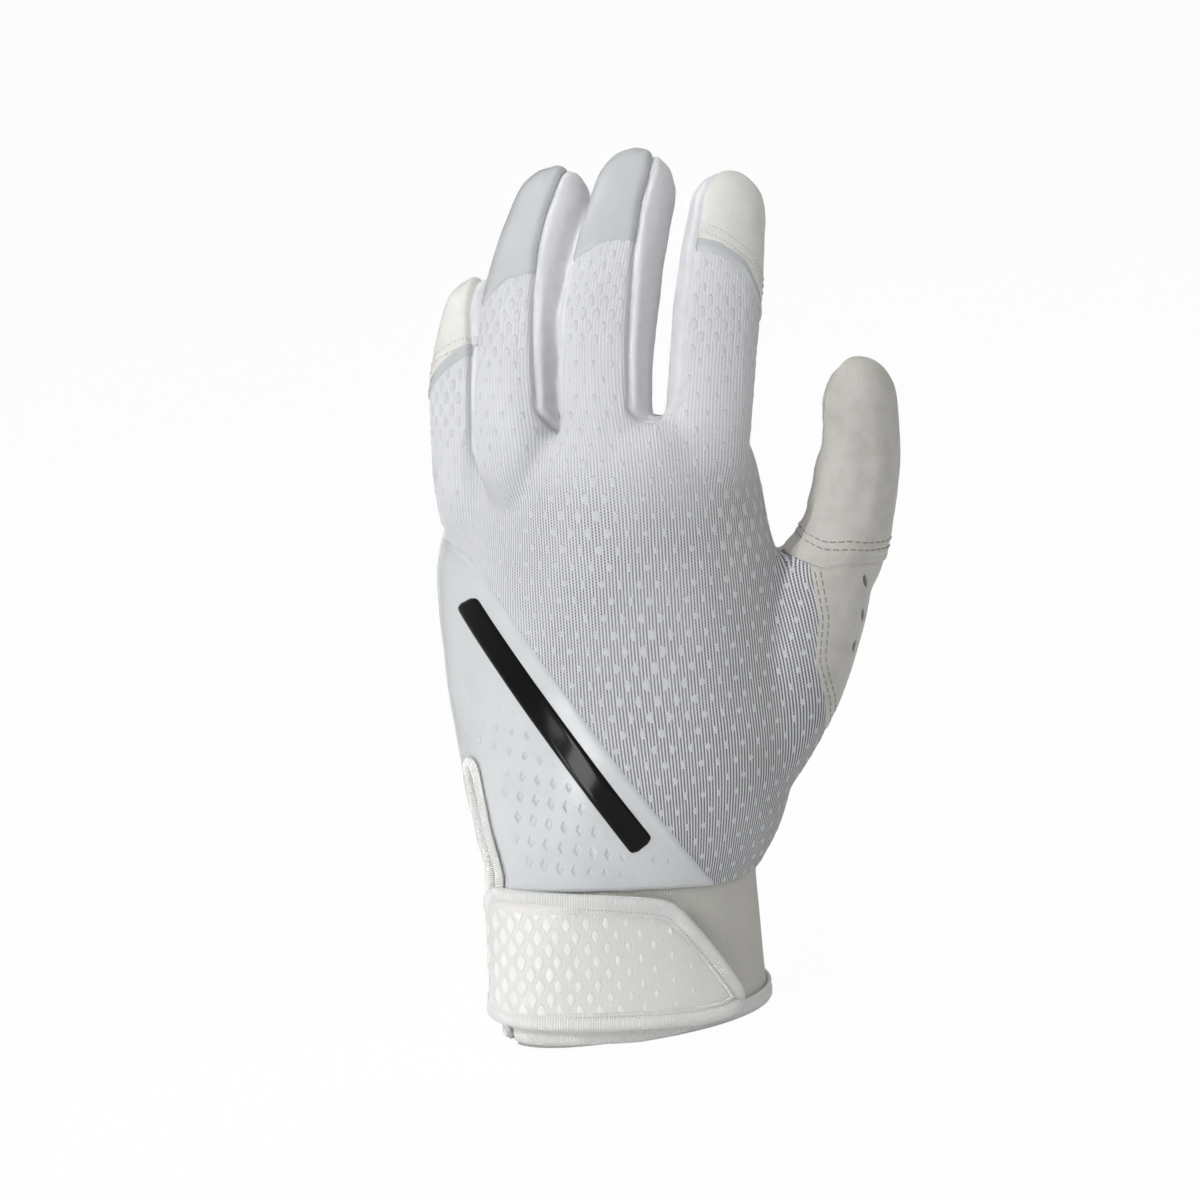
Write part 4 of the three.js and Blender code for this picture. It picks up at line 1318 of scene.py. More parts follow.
    def arc(self, angle: Array, height: Array) -> Array:
        """The length of cloth from the middle of the back round to an angle.

        Args:
            angle: places round the rows.
            height: heights of the rows.

        Returns:
            The lengths in mm, towards the thumb above 0.
        """
        levels = np.linspace(0, PALM.rise, 45)
        angles = np.linspace(0, 2 * math.pi, 241)
        rings = PALM.surface(angles[None, :], levels[:, None])
        rings[:, :, 2] = levels[:, None]
        steps = np.linalg.norm(np.diff(rings, axis=1), axis=2)
        lengths = np.concatenate([np.zeros((len(levels), 1)), np.cumsum(steps, 1)], 1)
        middle = np.array([np.interp(1.5 * math.pi, angles, row) for row in lengths])
        lengths -= middle[:, None]
        return bilinear(lengths, height / PALM.rise, angle / (2 * math.pi))

    def film_field(self, points: Array, body: Array) -> Array:
        """How far inside the bonded film each point lies.

        Args:
            points: the points.
            body: how far each lies on the back side of the hand.

        Returns:
            Distances in mm, above 0 inside.
        """
        corner, _, inward, _ = self.film_edge()
        diagonal = (points[:, [0, 2]] - corner) @ inward
        edge = smooth_least(diagonal, corner[1] - points[:, 2], self.film_round)
        edge = np.minimum(edge, body - self.film_margin)
        edge = np.minimum(edge, SLIT.distance(points) - SLIT.opening / 2 - self.film_slit_gap)
        return np.minimum(edge, points[:, 2] - cuff_line(PALM.angle_of(points)) - 0.1)

    def sort_faces(self) -> tuple[Array, Array, Array]:
        """Says of each triangle which cloth it is, whose finger it is on and on which side.

        Returns:
            Numbers of cloths (-1 where nothing is), numbers of fingers (-1 on the hand), and sides.
        """
        skin = self.skin
        value = skin.mean
        owner = value("outside").argmin(1)
        side = np.sign(np.take_along_axis(value("side_of"), owner[:, None], 1)[:, 0])
        back, thumb, on_finger = value("back") > 0, value("thumb") > 0, value("tip_start") > 0
        has_tip = np.array([digit.outer != 0 for digit in FINGERS])[owner]
        layers = (
            (Cloth.BACK, back),
            (Cloth.SIDE, ~back & (value("palm") > 0)),
            (Cloth.TIP, on_finger & has_tip & (value("cap") > 0) & back),
            (Cloth.PANEL, (value("panel") > 0) & ~on_finger),
            (Cloth.THUMB_BACK, thumb),
            (Cloth.THUMB_FRONT, thumb & (value("thumb_side") <= 0)),
        )
        kinds = np.full(len(owner), CLOTHS.index(Cloth.PALM))
        for cloth, where in layers:
            kinds[where] = CLOTHS.index(cloth)
        gone = (value("cuff") < 0) | (value("slit") < 0)
        if "vent" in skin.fields:
            gone |= (value("vent") < 0) & (kinds == CLOTHS.index(Cloth.PANEL))
        kinds[gone] = -1
        return kinds, np.where(on_finger & ~thumb, owner, -1), side

    def add_vents(self) -> None:
        """Cuts the leaf-shaped vents in the leather over the ball of the thumb."""
        skin = self.skin
        vents = Vents()
        frames = vents.frames(skin.points, skin.normals())
        skin.fields["vent"] = vents.distance(skin.points, frames)
        skin.fields["vent_near"] = -skin.fields["vent"]
        for longest in (0.6, 0.32):
            skin.refine("vent_near", -1.2, longest)
            skin.fields["vent"] = vents.distance(skin.points, frames)
            skin.fields["vent_near"] = -skin.fields["vent"]
        skin.cut("vent")

    def mark_seams(self) -> None:
        """Measures each point's distance to the turned seams and to the lapped ones."""
        skin = self.skin
        kinds, _, _ = self.sort_faces()
        edges, of_triangle = skin.edges()
        order = np.argsort(of_triangle.ravel(), kind="stable")
        count = np.bincount(of_triangle.ravel(), minlength=len(edges))
        first = np.concatenate([[0], np.cumsum(count)[:-1]])
        pairs = count == 2
        one = kinds[order[first[pairs]] // 3]
        two = kinds[order[first[pairs] + 1] // 3]
        edge = edges[pairs]
        real = (one != two) & (one >= 0) & (two >= 0)
        lapped_kinds = [CLOTHS.index(c) for c in LAPPED]
        is_tip = np.isin(one, lapped_kinds) | np.isin(two, lapped_kinds)
        knit = [CLOTHS.index(Cloth.BACK), CLOTHS.index(Cloth.PANEL)]
        over = np.isin(one, knit) | np.isin(two, knit)
        lap = real & is_tip & over
        turned = real & ~lap
        skin.fields["turned"] = self.seam_distance(edge[turned])
        skin.fields["lapped"] = self.seam_distance(edge[lap])

    def seam_distance(self, edges: Array) -> Array:
        """Each point's distance to the nearest of some edges.

        Args:
            edges: the edges as pairs of point numbers.

        Returns:
            The distances, up to a few mm.
        """
        points = self.skin.points
        tree = KDTree(len(edges) * 3)
        number = 0
        for share in (0.0, 0.5, 1.0):
            for spot in points[edges[:, 0]] * (1 - share) + points[edges[:, 1]] * share:
                tree.insert(spot, number)
                number += 1
        tree.balance()
        return np.array([min(tree.find(p)[2], 8.0) for p in points])

    def shape_seams(self) -> None:
        """Pulls the skin in at its seams, puffs it beside them and lays soft folds in it."""
        skin = self.skin
        normals = skin.normals()
        turned = skin.fields["turned"]
        shift = self.puff * hill(turned - self.puff_place, self.puff_reach)
        shift -= self.seam_depth * hill(turned, self.seam_reach)
        shift -= self.lap_dip * hill(skin.fields["lapped"], self.lap_reach)
        for height, size, seed in self.ripples:
            shift += height * ripple(skin.points, size, seed)
        shift += self.finger_swell * smooth_step(skin.points[:, 2], 125, 160)
        along, across = skin.fields["thumb_along"], skin.fields["thumb_across"]
        on_thumb = smooth_step(along, 2, 8) * smooth_step(skin.points[:, 0], 56, 60)
        wrinkle = np.sin(along * 0.8 + 1.6 * ripple(skin.points, 14.0, 5))
        inner_side = smooth_step(-across, 2, 8)
        shift += on_thumb * (0.12 * wrinkle * inner_side + 0.06 * ripple(skin.points, 9.0, 11))
        for middle, side, long, wide, depth in self.thumb_hollows:
            shift -= depth * hill(along - middle, long) * hill(across - side, wide)
        for (top, top_side), (foot, foot_side), depth in self.thumb_creases:
            run = np.array([foot - top, foot_side - top_side])
            place = np.stack([along - top, across - top_side], 1)
            share = np.clip(place @ run / (run @ run), 0, 1)
            off = np.linalg.norm(place - share[:, None] * run, axis=1)
            shift -= depth * hill(off, self.crease_reach)
        for row in self.thumb_rows:
            shift -= self.row_dip * hill(skin.fields["thumb"] - row, self.row_reach)
        edge_fade = smooth_step(skin.fields["cuff"], -0.5, 4)
        self.outer = skin.points + normals * (shift * edge_fade)[:, None]
        self.bent = Skin(self.outer, skin.triangles).normals()

    def shell(self, chosen: Array, lift: float = 0.0, lap: Array | None = None) -> Sheet:
        """Makes a shell of some triangles, with an inner face and closed edges.

        Args:
            chosen: which triangles.
            lift: how far the piece lies on top of its neighbours.
            lap: at each point of the skin, the distance from the edge that lies on top.

        Returns:
            The sheet.
        """
        used, faces = np.unique(self.skin.triangles[chosen], return_inverse=True)
        faces = faces.reshape(-1, 3)
        raised = np.zeros(len(used))
        if lift:
            near = self.skin.fields["lapped"][used] if lap is None else lap[used]
            settle = smooth_step(self.skin.fields["turned"][used], 0.2, 2.5)
            raised = lift * settle * (0.45 + 0.55 * smooth_step(near, 0.0, 0.8))
        out = self.bent[used]
        outer = self.outer[used] + out * raised[:, None]
        inner = self.outer[used] - self.normals[used] * self.thickness
        return self.closed_sheet(outer, inner, out, faces, {"weave": self.skin.fields["weave"][used]})

    def closed_sheet(self, outer: Array, inner: Array, out: Array, faces: Array, patterns: dict) -> Sheet:
        """Closes an outer and an inner face with a rim.

        Args:
            outer: points of the outer face.
            inner: points of the inner face.
            out: outward directions.
            faces: triangles of the outer face.
            patterns: patterns on the outer points.

        Returns:
            The closed sheet, with smooth faces and crisp rims.
        """
        count = len(outer)
        directed = faces[:, [[0, 1], [1, 2], [2, 0]]].reshape(-1, 2)
        code = directed[:, 0] * count + directed[:, 1]
        back = directed[:, 1] * count + directed[:, 0]
        rim = directed[~np.isin(code, back)]
        quads = np.stack([rim[:, 1], rim[:, 0], rim[:, 0] + count, rim[:, 1] + count], 1)
        points = np.vstack([outer, inner])
        all_faces = faces.tolist() + (faces[:, ::-1] + count).tolist() + quads.tolist()
        corner = points[quads]
        flat = unit(np.cross(corner[:, 2] - corner[:, 0], corner[:, 3] - corner[:, 1]))
        faced = out[faces].reshape(-1, 3), -out[faces[:, ::-1]].reshape(-1, 3)
        normals = np.vstack([*faced, np.repeat(flat, 4, 0)])
        doubled = {name: np.vstack([rows, rows]) for name, rows in patterns.items()}
        return Sheet(points, all_faces, doubled, normals)

    def layer(self, chosen: Array, height: float, edge: Array, dents: Array | None = None) -> Sheet:
        """Makes a film that lies on some triangles, with a soft lip at its edge.

        Args:
            chosen: which triangles.
            height: the film's height over the cloth.
            edge: at each point of the skin, the distance inside the film's edge.
            dents: at each point of the skin, how far the film is pressed in.

        Returns:
            The sheet.
        """
        used, faces = np.unique(self.skin.triangles[chosen], return_inverse=True)
        faces = faces.reshape(-1, 3)
        inside = edge[used]
        rise = height * (0.35 + 0.65 * smooth_step(inside, 0.0, 0.7))
        rise = rise + 0.12 * hill(inside - 1.0, 0.55)
        if dents is not None:
            rise = rise - dents[used]
        out = self.bent[used]
        outer = self.outer[used] + out * rise[:, None]
        inner = self.outer[used] - out * 0.25
        whole = Skin(outer, faces).normals()
        return self.closed_sheet(outer, inner, whole, faces, {"weave": self.skin.fields["weave"][used]})

    def on_surface(self, start: Array, way: Array) -> tuple[Array, Array] | None:
        """Casts a ray on to the sewn skin.

        Args:
            start: where the ray starts.
            way: where it goes.

        Returns:
            The point met and the outward direction there, or nothing.
        """
        spot, normal, _, _ = self.tree.ray_cast(Vector(start), Vector(way))
        if spot is None:
            return None
        return np.array(spot), np.array(normal)


@dataclass(frozen=True)
class Vents:
    """Leaf-shaped holes that let air into the ball of the thumb.

    Args:
        length: a leaf's length.
        width: its width.
        spots: where each lies, across and up, and how far it leans in degrees.
    """

    length: float = 3.6
    width: float = 1.6
    spots: tuple = (
        (67.3, 106.6, -20), (70.2, 104.1, -4), (66.0, 98.5, -10), (67.6, 96.6, -4), (63.4, 91.0, 2),
    )

    def frames(self, points: Array, normals: Array) -> list:
        """Lays each leaf on the skin, on the side of the ball that faces away from the palm.

        Args:
            points: the skin's points.
            normals: outward directions there.

        Returns:
            For each leaf its middle, the direction along it and the outward direction.
        """
        found = []
        for across, height, lean in self.spots:
            facing = (normals[:, 1] < 0.1) & (points[:, 0] > 45)
            gap = np.hypot(points[:, 0] - across, points[:, 2] - height) + np.where(facing, 0.0, FAR)
            nearest = int(gap.argmin())
            out = normals[nearest]
            up = np.array([math.sin(math.radians(lean)), 0.0, math.cos(math.radians(lean))])
            found.append((points[nearest], unit(up - out * (up @ out)), out))
        return found

    def distance(self, points: Array, frames: list) -> Array:
        """How far each point lies outside the nearest leaf, measured on the skin.

        Args:
            points: the points.
            frames: each leaf's middle, the direction along it and the outward direction.

        Returns:
            Distances in mm, below 0 inside.
        """
        radius = (self.length**2 / 4 + self.width**2 / 4) / self.width
        shift = radius - self.width / 2
        least = np.full(len(points), FAR)
        for middle, up, out in frames:
            gap = points - middle
            high, wide = np.abs(gap @ up), np.abs(gap @ np.cross(up, out))
            leaf = np.hypot(high, wide + shift) - radius
            least = np.minimum(least, np.where(np.abs(gap @ out) < self.length, leaf, FAR))
        return least


LOOKS = {
    Cloth.BACK: (RIB_KNIT, "back_knit"),
    Cloth.SIDE: (SIDE_KNIT, "side_knit"),
    Cloth.PALM: (PALM_LEATHER, "palm_leather"),
    Cloth.TIP: (TIP_LEATHER, "tip_leather"),
    Cloth.PANEL: (THUMB_LEATHER, "palm_leather"),
    Cloth.THUMB_BACK: (THUMB_LEATHER, "palm_leather"),
    Cloth.THUMB_FRONT: (THUMB_LEATHER, "palm_leather"),
}


@dataclass
class Panels:
    """The sewn panels: knit back, leather palm, side strips, tips, thumb and its base.

    Args:
        hand: the sewn skin.
        thumb_hem: how far the thumb's leather is folded in at its seam.
    """

    hand: SewnHand
    thumb_hem: float = 0.6

    def pieces(self) -> None:
        """Makes every panel, and ties those on the hand to the frame."""
        hand = self.hand
        on_hand = hand.owners < 0
        self.add("back_knit_cloth", "back_knit", Cloth.BACK, on_hand)
        self.add("palm_leather_hide", "palm_leather", Cloth.PALM, on_hand)
        self.add("thumb_base_hide", "thumb_base_panel", Cloth.PANEL, on_hand)
        owner = hand.skin.mean("outside").argmin(1)
        pair = np.clip(np.where(hand.sides < 0, owner, owner - 1), 0, 2)
        for number, names in enumerate(("middle_index", "ring_middle", "little_ring")):
            node = "fourchette_" + names
            self.add(node + "_knit", node, Cloth.SIDE, on_hand & (pair == number))
        for number, digit in enumerate(FINGERS):
            self.finger(number, digit)
        for cloth, word in ((Cloth.THUMB_BACK, "back"), (Cloth.THUMB_FRONT, "palm")):
            self.add(f"thumb_{word}_hide", f"thumb_{word}", cloth, hand.kinds >= 0, THUMB)

    def finger(self, number: int, digit: Digit) -> None:
        """Makes the pieces of one finger.

        Args:
            number: the finger's number.
            digit: the finger.
        """
        own = self.hand.owners == number
        name = digit.name
        self.add(f"{name}_back_cloth", f"{name}_back", Cloth.BACK, own, digit)
        self.add(f"{name}_palm_hide", f"{name}_palm", Cloth.PALM, own, digit)
        for side in (-1, 1):
            if side == digit.outer:
                continue
            node = f"{name}_gusset_{FINGERS[number - side].name}_side"
            self.add(f"{node}_knit", node, Cloth.SIDE, own & (self.hand.sides == side), digit)
        if digit.outer:
            self.add(f"{name}_tip_hide", f"{name}_tip", Cloth.TIP, own, digit)

    def add(self, name: str, node: str, cloth: Cloth, where: Array, body: Digit | str = "hand") -> None:
        """Makes one panel of one cloth.

        Args:
            name: the piece's name.
            node: the CAD node that it stands for.
            cloth: what it is cut from.
            where: which triangles to look among.
            body: the body that it rides on, or the digit that it lies on.
        """
        hand = self.hand
        lap = hand.skin.fields["thumb"] + self.thumb_hem if body is THUMB else None
        sheet = hand.shell(where & hand.cut_from(cloth), LAPPED.get(cloth, 0.0), lap)
        finish, slot = LOOKS[cloth]
        MAKER.piece(name, sheet, finish, slot, node, body)


@dataclass
class Films:
    """Films bonded to the knit: caps and bands on the fingers, and the sheet on the wrist with its bar.

    Args:
        hand: the sewn skin.
        height: how high the films lie over the cloth.
        bar_width: the width of the plain bar.
        bar_inset: how far inside the film's slanted edge it lies.
        bar_top: how far below the film's corner it starts.
        bar_foot: how far above the film's foot it ends.
        dent_across: the step from one pressed lozenge to the next in its row, as (side, height).
        dent_up: the step to the next row.
        dent_size: a lozenge's width and height.
        dent_depth: how deep it is.
        dent_spread: how far across and up the lozenges thin out.
        dent_reach: how far from their middle the skin is made finer for them.
        dent_middle: their middle, as (side, height).
    """

    hand: SewnHand
    height: float = 0.45
    bar_width: float = 6.4
    bar_inset: float = 4.4
    bar_top: float = 12.0
    bar_foot: float = 20.0
    dent_across: tuple = (3.7, -0.85)
    dent_up: tuple = (1.0, 4.9)
    dent_size: tuple = (1.7, 3.1)
    dent_depth: float = 0.36
    dent_spread: tuple = (36, 52)
    dent_reach: float = 30.0
    dent_middle: tuple = (-14.4, 46.0)

    def pieces(self) -> None:
        """Makes every film."""
        hand = self.hand
        skin = hand.skin
        for number, digit in enumerate(FINGERS):
            part = "band" if digit.outer else "cap"
            chosen = (hand.owners == number) & hand.cut_from(Cloth.BACK) & (skin.mean(part) > 0)
            if digit.outer:
                chosen &= skin.mean("cap") < 0
            node = f"{digit.name}_film_{part}"
            sheet = hand.layer(chosen, self.height, skin.fields[part])
            MAKER.piece(f"{node}_sheet", sheet, CAP_FILM, "bonded_film", node, digit)
        self.wrist()
        self.bar()

    def bar_field(self, points: Array) -> Array:
        """How far inside the plain bar each point lies.

        Args:
            points: the points.

        Returns:
            Distances in mm, above 0 inside.
        """
        corner, run, inward, length = self.hand.film_edge()
        place = points[:, [0, 2]] - corner
        along, inside = place @ run, place @ inward
        across = self.bar_width / 2 - np.abs(inside - self.bar_inset - self.bar_width / 2)
        ends = np.minimum(along - self.bar_top, length - self.bar_foot - along)
        return smooth_least(across, ends, 2.5)

    def dents(self, points: Array) -> Array:
        """How far the pressed lozenges sink at each point.

        Args:
            points: the points.

        Returns:
            Depths in mm.
        """
        lattice = np.array([self.dent_across, self.dent_up]).T
        place = points[:, [0, 2]] - np.array(self.dent_middle)
        steps = place @ np.linalg.inv(lattice).T
        gap = (steps - np.round(steps)) @ lattice.T
        centre = place - gap
        far = np.hypot(*(centre / self.dent_spread).T)
        size = np.clip(1.3 - far, 0.0, 1.0) * (far < 0.95)
        wide, high = (2 * np.abs(gap) / (np.array(self.dent_size) * np.maximum(size, 0.05)[:, None])).T
        return self.dent_depth * size * smooth_step(-(wide + high), -1.15, -0.7)

    def wrist(self) -> None:
        """Makes the film over the wrist, with its lozenges kept clear of the bar and of its edges."""
        hand = self.hand
        skin = hand.skin
        film = skin.fields["film"]
        chosen = (skin.mean("film") > 0) & hand.cut_from(Cloth.BACK)
        quiet = smooth_step(-self.bar_field(skin.points), 1.2, 2.6) * smooth_step(film, 3.2, 4.6)
        quiet = quiet * smooth_step(skin.fields["cuff"], 2.0, 3.2)
        sheet = hand.layer(chosen, self.height, film, self.dents(skin.points) * quiet)
        MAKER.piece("wrist_film_sheet", sheet, BONDED_FILM, "bonded_film", "wrist_film")

    def bar(self) -> None:
        """Makes the plain black bar as its own smooth grid, laid on the film."""
        rounding, thickness = 1.6, 0.6
        corner, run, inward, edge_length = self.hand.film_edge()
        length = edge_length - self.bar_top - self.bar_foot
        half = self.bar_width / 2
        longs = np.arange(0, length + 0.01, length / 120)
        ends = np.minimum(longs, length - longs)
        ease = np.sqrt(np.maximum(1 - np.maximum(1 - ends / rounding, 0) ** 2, 0))
        reach = half - rounding * (1 - ease)
        wides = reach[:, None] * np.linspace(-1, 1, 13)
        grid = np.stack([np.broadcast_to(longs[:, None], wides.shape), wides], -1)
        met = []
        for long, wide in grid.reshape(-1, 2):
            spot = corner + run * (self.bar_top + long) + inward * (self.bar_inset + half + wide)
            met.append(self.hand.on_surface(np.array([spot[0], -FAR, spot[1]]), np.array([0, 1, 0.0])))
        points, outs = np.moveaxis(np.array(met).reshape(*wides.shape, 2, 3), 2, 0)
        outs = unit(smooth_grid(outs, 4))
        edge = np.minimum(half - np.abs(wides), ends[:, None])
        rise = self.height + 0.12 + 0.22 * smooth_step(edge, 0, 0.8)
        points = smooth_grid(points, 3) + outs * rise[..., None]
        sheet = grid_shell(points, points - outs * thickness, grid)
        MAKER.piece("wrist_stripe_sheet", sheet, BLACK_FILM, "black_film", "wrist_stripe")


def smooth_grid(grid: Array, rounds: int) -> Array:
    """Evens out a grid of points or directions, its border along the border.

    Args:
        grid: rows of columns of vectors.
        rounds: how many times.

    Returns:
        The even grid.
    """
    grid = grid.copy()
    for _ in range(rounds):
        inner = (grid[:-2, 1:-1] + grid[2:, 1:-1] + grid[1:-1, :-2] + grid[1:-1, 2:]) / 4
        grid[1:-1, 1:-1] = inner
    return grid


def grid_shell(outer: Array, inner: Array, places: Array) -> Sheet:
    """Closes two grids of points into one shell.

    Args:
        outer: rows of columns of outer points.
        inner: the same on the inside.
        places: for each point of a grid the two lengths that its tape pattern reads.

    Returns:
        The closed sheet.
    """
    rows, columns, _ = outer.shape
    numbers = np.arange(rows * columns).reshape(rows, columns)
    count = numbers.size
    corners = [numbers[:-1, :-1], numbers[1:, :-1], numbers[1:, 1:], numbers[:-1, 1:]]
    cells = np.stack(corners, -1).reshape(-1, 4)
    border = np.concatenate([numbers[0], numbers[1:, -1], numbers[-1, -2::-1], numbers[-2:0:-1, 0]])
    after = np.roll(border, -1)
    rim = np.stack([after, after + count, border + count, border], 1)
    faces = np.vstack([cells, cells[:, ::-1] + count, rim])
    out = np.cross(outer[1, 0] - outer[0, 0], outer[0, 1] - outer[0, 0])
    if out @ (outer[0, 0] - inner[0, 0]) < 0:
        faces = faces[:, ::-1]
    flat = places.reshape(-1, 2)
    tape = np.column_stack([flat, np.zeros(len(flat))])
    points = np.vstack([outer.reshape(-1, 3), inner.reshape(-1, 3)])
    return Sheet(points, faces.tolist(), {"tape": np.vstack([tape, tape])})


def lengths_along(line: Array) -> Array:
    """The length along a line from its start to each of its points."""
    return np.concatenate([[0], np.cumsum(np.linalg.norm(np.diff(line, axis=0), axis=1))])


def swept(path: Array, out: Array, inward: Array, profile: Array, sizes: Array | None = None) -> Sheet:
    """Sweeps a closed outline along a path.

    Args:
        path: points of the path.
        out: outward directions at the path.
        inward: directions into the piece at the path.
        profile: the outline as (inward, outward) in mm.
        sizes: how much the outline is scaled about its middle at each point of the path.

    Returns:
        The sheet, with the length along and round as its tape pattern.
    """
    middle = profile.mean(0)
    scaled = profile[None] if sizes is None else middle + (profile - middle)[None] * sizes[:, None, None]
    rings = path[:, None] + inward[:, None] * scaled[..., :1] + out[:, None] * scaled[..., 1:]
    rows, sides = rings.shape[:2]
    tape = np.zeros((rows, sides, 3))
    tape[..., 0] = lengths_along(path)[:, None]
    tape[..., 1] = lengths_along(profile)[None, :]
    faces = []
    for i in range(rows - 1):
        a, b = i * sides, (i + 1) * sides
        faces += [[a + j, a + (j + 1) % sides, b + (j + 1) % sides, b + j] for j in range(sides)]
    points = rings.reshape(-1, 3)
    faces += [list(range(sides))[::-1], [(rows - 1) * sides + j for j in range(sides)]]
    corner = points[faces[0]]
    outward = np.cross(corner[1] - corner[0], corner[3] - corner[0]) @ (corner[0] - rings[0].mean(0))
    if outward < 0:
        faces = [face[::-1] for face in faces]
    return Sheet(points, faces, {"tape": tape.reshape(-1, 3)})


def evenly(line: Array, step: float) -> Array:
    """Spaces points evenly along a line.

    Args:
        line: the line's points.
        step: about how far apart.

    Returns:
        The evenly spaced points.
    """
    along = lengths_along(line)
    count = max(int(round(along[-1] / step)), 2)
    wanted = np.linspace(0, along[-1], count + 1)
    return np.stack([np.interp(wanted, along, line[:, i]) for i in range(line.shape[1])], 1)


@dataclass
class CuffSurface:
    """Places on the straight cuff by the length of cloth round it, from the middle of the back.

    Args:
        hand: the sewn skin.
        level: the height at which the length round is measured.
    """

    hand: SewnHand
    level: float = 20.0

    def __post_init__(self) -> None:
        """Tables the length round the cuff."""
        self.angles = np.linspace(0, 2 * math.pi, 721)
        self.arcs = self.hand.arc(self.angles, np.full(len(self.angles), self.level))
        self.whole = self.arcs[-1] - self.arcs[0]

    def wrap(self, arcs: Array) -> Array:
        """Brings lengths beyond the cuff's end back to its start."""
        return (arcs - self.arcs[0]) % self.whole + self.arcs[0]

    def angle(self, arc: Array) -> Array:
        """The angle round the cuff at a length of cloth."""
        return np.interp(arc, self.arcs, self.angles)

    def arc_at_angle(self, degrees: float) -> float:
        """The length of cloth at an angle in degrees."""
        return float(np.interp(math.radians(degrees), self.angles, self.arcs))

    def arc_at_x(self, x: Array) -> Array:
        """The length of cloth at a place across the back."""
        places = PALM.surface(self.angles, np.full(len(self.angles), self.level))
        back = (self.angles >= math.pi) & (self.angles <= 2 * math.pi)
        return np.interp(x, places[back, 0], self.arcs[back])

    def points(self, arc: Array, height: Array, offset: Array | float) -> Array:
        """Points at some lengths round the cuff, heights above the hem and offsets outside the cuff."""
        return PALM.surface(self.angle(arc), height, offset)

    def out(self, arc: Array, height: Array) -> Array:
        """Outward directions over the cuff.

        Args:
            arc: lengths round the cuff.
            height: heights above the hem.

        Returns:
            The directions.
        """
        step = 0.2
        run = self.points(arc + step, height, 0) - self.points(arc - step, height, 0)
        rise = self.points(arc, height + step, 0) - self.points(arc, height - step, 0)
        return unit(np.cross(run, rise))


